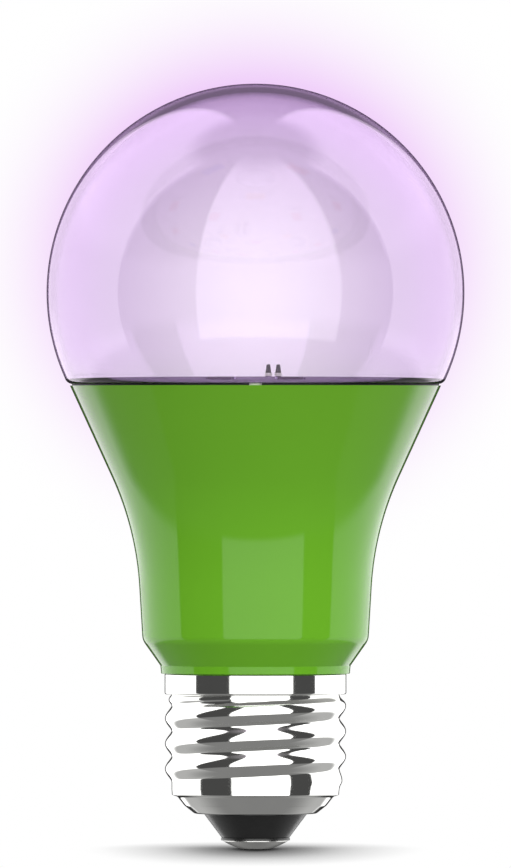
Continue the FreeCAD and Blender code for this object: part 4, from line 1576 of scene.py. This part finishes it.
@dataclass
class LightEngine:
    """The white board's LEDs, screws and posts, sizes in millimetres."""

    outer_ring: float = 17.6
    inner_ring: float = 8.2
    led_across: float = 2.8
    led_along: float = 3.5
    led_wall: float = 0.45
    led_bevel: float = 0.08
    well_slope: float = 0.35
    cup_points: int = 32
    gel_points: int = 24
    tab_width: float = 1.6
    tab_length: float = 0.35
    tab_reach: float = 0.1
    tab_points: int = 16
    screw_ring: Ring = Ring(12.8, 3, 90.0)
    screw_pitch: float = 0.5
    screw_points: int = 48
    thread_depth: float = 0.16
    head: float = 2.3
    head_crown: float = 0.95
    head_edge: float = 0.5
    head_steps: int = 6
    head_undercut: float = 0.08
    head_lip: float = 0.1
    shank: float = 1.2
    cross_reach: float = 1.35
    cross_half: float = 0.27
    cross_depth: float = 0.8
    cross_taper: float = 0.72
    post_stem: float = 0.45
    post_foot: float = 0.49
    post_tip: float = 0.26
    post_tip_rounding: float = 0.12
    post_shoulder: float = 0.43
    post_step: float = 0.02
    shoulder_drop: float = 0.05
    collar: float = 0.53
    collar_drop: float = 1.6
    collar_height: float = 0.3

    def cup(self) -> bmesh.types.BMesh:
        """Shapes one reflector cup, a low box with a sloping well.

        Returns:
            The cup, at the origin.
        """
        board = heights("led_board")[1]
        top = heights("led_frames")[1]
        well = heights("red_emitters")[0] + 0.02
        mouth, slope = 2 * self.led_wall, self.well_slope
        # Rows of what each side loses, the height and the squareness.
        rows = (
            (0.1, board, 14),
            (0.0, board + self.led_bevel, 14),
            (0.0, top - self.led_bevel, 14),
            (0.12, top, 14),
            (mouth - 0.1, top, 7),
            (mouth, top - 0.05, 7),
            (mouth + slope, well, 5),
        )
        wide, deep, points = self.led_across, self.led_along, self.cup_points
        return loft([rectangle(wide - loss, deep - loss, z, sq, points) for loss, z, sq in rows])

    def gel(self) -> bmesh.types.BMesh:
        """Shapes one cup's filling, slightly hollow on top as cured gel is.

        Returns:
            The filling, at the origin.
        """
        top = heights("led_frames")[1]
        well = heights("red_emitters")[0] + 0.03
        wide = self.led_across - 2 * self.led_wall
        deep = self.led_along - 2 * self.led_wall
        # Rows of the share of each side, what it loses, the height and the squareness.
        rows = (
            (1.0, 0.33, well, 5),
            (1.0, 0.04, top - 0.08, 6),
            (0.7, 0.0, top - 0.13, 4),
            (0.3, 0.0, top - 0.15, 3),
        )
        return loft(
            [
                rectangle(wide * part - loss, deep * part - loss, z, sq, self.gel_points)
                for part, loss, z, sq in rows
            ]
        )

    def solder(self) -> bmesh.types.BMesh:
        """Shapes the solder fillets at both ends of one LED.

        Returns:
            Both fillets, at the origin.
        """
        low, high = heights("led_tabs")
        joined = bmesh.new()
        for side in (-1, 1):
            shift = Vector((0, side * (self.led_along / 2 + self.tab_reach), 0)) * MM
            rings = []
            for grow, share in ((0.30, 0.0), (0.22, 0.35), (0.1, 0.75), (0.02, 1.0)):
                width, length = self.tab_width + grow, self.tab_length + grow
                ring = rectangle(width, length, low + (high - low) * share, 4, self.tab_points)
                rings.append([spot + shift for spot in ring])
            joined.from_mesh(plain_mesh(loft(rings), "fillet"))
        return joined

    def leds(self) -> None:
        """Builds the LEDs: cups, fillings and solder at their ends."""
        far, near = self.outer_ring, self.inner_ring
        every = [Ring(far, 12, 15.0), Ring(near, 6, 30.0)]
        red = [Ring(far, 4, 15.0), Ring(far, 4, 45.0), Ring(near, 3, 30.0)]
        blue, yellow = [Ring(far, 4, 75.0)], [Ring(near, 3, 90.0)]
        for name, shape, rings, finish, slot, node in (
            ("led_cups", self.cup, every, CUP_WHITE, "white_plastic", "led_frames"),
            ("red_gel", self.gel, red, RED_GEL, "red_phosphor", "red_emitters"),
            ("blue_gel", self.gel, blue, BLUE_GEL, "blue_phosphor", "blue_emitters"),
            ("yellow_gel", self.gel, yellow, YELLOW_GEL, "yellow_phosphor", "white_emitters"),
            ("solder_fillets", self.solder, every, SOLDER, "solder", "led_tabs"),
        ):
            settle(piece(name, ring_of(shape(), rings, finish, name), finish), slot, node)

    def cross(self, height: float, share: float) -> list[Vector]:
        """Sets points on a cross.

        Args:
            height: Its height, in millimetres.
            share: Its size against the recess's full size.

        Returns:
            The points, in metres.
        """
        spots = []
        for k in range(self.screw_points):
            turn = FULL_TURN * k / self.screw_points
            c, s = math.cos(turn), math.sin(turn)
            long, short = max(abs(c), abs(s)), min(abs(c), abs(s))
            reach, half = self.cross_reach * share, self.cross_half * share
            far = max(min(reach / long, half / max(short, 1e-9)), half / long)
            spots.append(Vector((far * c, far * s, height)) * MM)
        return spots

    def screws(self) -> None:
        """Builds the pan-head screws with their cross recess and threaded shanks."""
        low, high = heights("board_screws")
        board = heights("led_board")[1]
        rows = []
        for k in range(int((board - low) / self.screw_pitch)):
            z = low + self.screw_pitch * k
            rows += [(self.shank - self.thread_depth, z), (self.shank, z + self.screw_pitch / 2)]
        rows += [
            (self.shank, board),
            (self.head - self.head_undercut, board),
            (self.head, board + self.head_lip),
        ]
        edge = board + self.head_edge
        for k in range(self.head_steps + 1):
            bend = math.pi / 2 * k / self.head_steps
            radius = self.head - self.head_crown * (1 - math.cos(bend))
            rows.append((radius, edge + (high - edge) * math.sin(bend)))
        rings = [circle(radius, z, self.screw_points) for radius, z in rows]
        rings.append(self.cross(high, 1.0))
        rings.append(self.cross(high - self.cross_depth, self.cross_taper))
        mesh = ring_of(loft(rings), [self.screw_ring], SCREW_STEEL, "board_screws")
        settle(piece("pan_head_screws", mesh, SCREW_STEEL), "plated_steel", "board_screws")

    def posts(self) -> None:
        """Builds the two tapered supply posts with rounded tips and pale collars."""
        low, high = heights("supply_posts")
        board = heights("led_board")[1]
        left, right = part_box("supply_posts")
        collar_z = high - self.collar_drop
        collar_top = collar_z + self.collar_height
        outline = rounded(
            [
                (0, low),
                (self.post_stem, low),
                (self.post_stem, board),
                (self.post_foot, board + self.post_step),
                (self.collar, collar_z),
                (self.collar, collar_top),
                (self.post_shoulder, collar_top + self.shoulder_drop),
                (self.post_tip, high, self.post_tip_rounding),
                (0, high),
            ],
            steps=4,
            closed=False,
        )
        joined = bmesh.new()
        for x in (left[0] / MM + self.post_foot, right[0] / MM - self.post_foot):
            part = lathe(outline, segments=SMALL_SEGMENTS, closed=False)
            bmesh.ops.translate(part, verts=part.verts, vec=Vector((x, 0, 0)) * MM)
            joined.from_mesh(plain_mesh(part, "post"))
        posts = piece("tapered_posts", joined, POST_DARK)
        low_face, high_face = collar_z - TOUCH, collar_top + self.shoulder_drop + TOUCH
        dress_part(posts, CUP_WHITE, lambda spot: low_face < spot.z < high_face)
        settle(posts, "dark_post", "supply_posts")

    def build(self) -> None:
        """Builds the light engine."""
        self.leds()
        self.screws()
        self.posts()


class Innards:
    """The parts inside the body that keep their CAD shape and get their finish here."""

    finishes: dict[str, Finish] = {
        "led_board": BOARD_WHITE,
        "post_bushing": CUP_WHITE,
        "heat_sink": SINK_ALUMINIUM,
        "thermal_pad": PAD_GREY,
        "driver_board": LAMINATE_GREEN,
        "input_capacitor_can": CAN_ALUMINIUM,
        "output_capacitor_can": CAN_ALUMINIUM,
        "input_capacitor_sleeve": SLEEVE_BLACK,
        "output_capacitor_sleeve": SLEEVE_BLACK,
        "capacitor_leads": SOLDER,
        "ferrite_core": FERRITE,
        "drum_core": FERRITE,
        "bobbin": BOBBIN_BLACK,
        "module_strip": BOBBIN_BLACK,
        "winding": TAPE_YELLOW,
        "bobbin_pins": SOLDER,
        "bridge_rectifier": CHIP_EPOXY,
        "controller_chip": CHIP_EPOXY,
        "output_diode": CHIP_EPOXY,
        "radio_chip": CHIP_EPOXY,
        "fuse_resistor": RESISTOR_COAT,
        "drum_winding": COPPER_WIRE,
        "film_capacitor": FILM_YELLOW,
        "wireless_board": LAMINATE_BLACK,
        "module_shield": SHIELD_STEEL,
        "module_antenna": ANTENNA_COPPER,
        "live_wire": WIRE_RED,
        "neutral_wire": WIRE_BLACK,
    }

    def build(self) -> None:
        """Dresses each carried-over node."""
        for node, finish in self.finishes.items():
            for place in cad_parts[node].material_slots:
                place.material = finish.material()
            log.info("%s: %s", node, finish.name)


def main() -> None:
    """Builds the studio and the bulb in order."""
    logging.basicConfig(level=logging.INFO, format="%(name)s: %(message)s")
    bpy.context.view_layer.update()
    for part in (Studio(), Globe(), Body(), ScrewCap(), LightEngine(), Innards()):
        log.info("building %s", type(part).__name__)
        part.build()


if __name__ == "__main__":
    main()
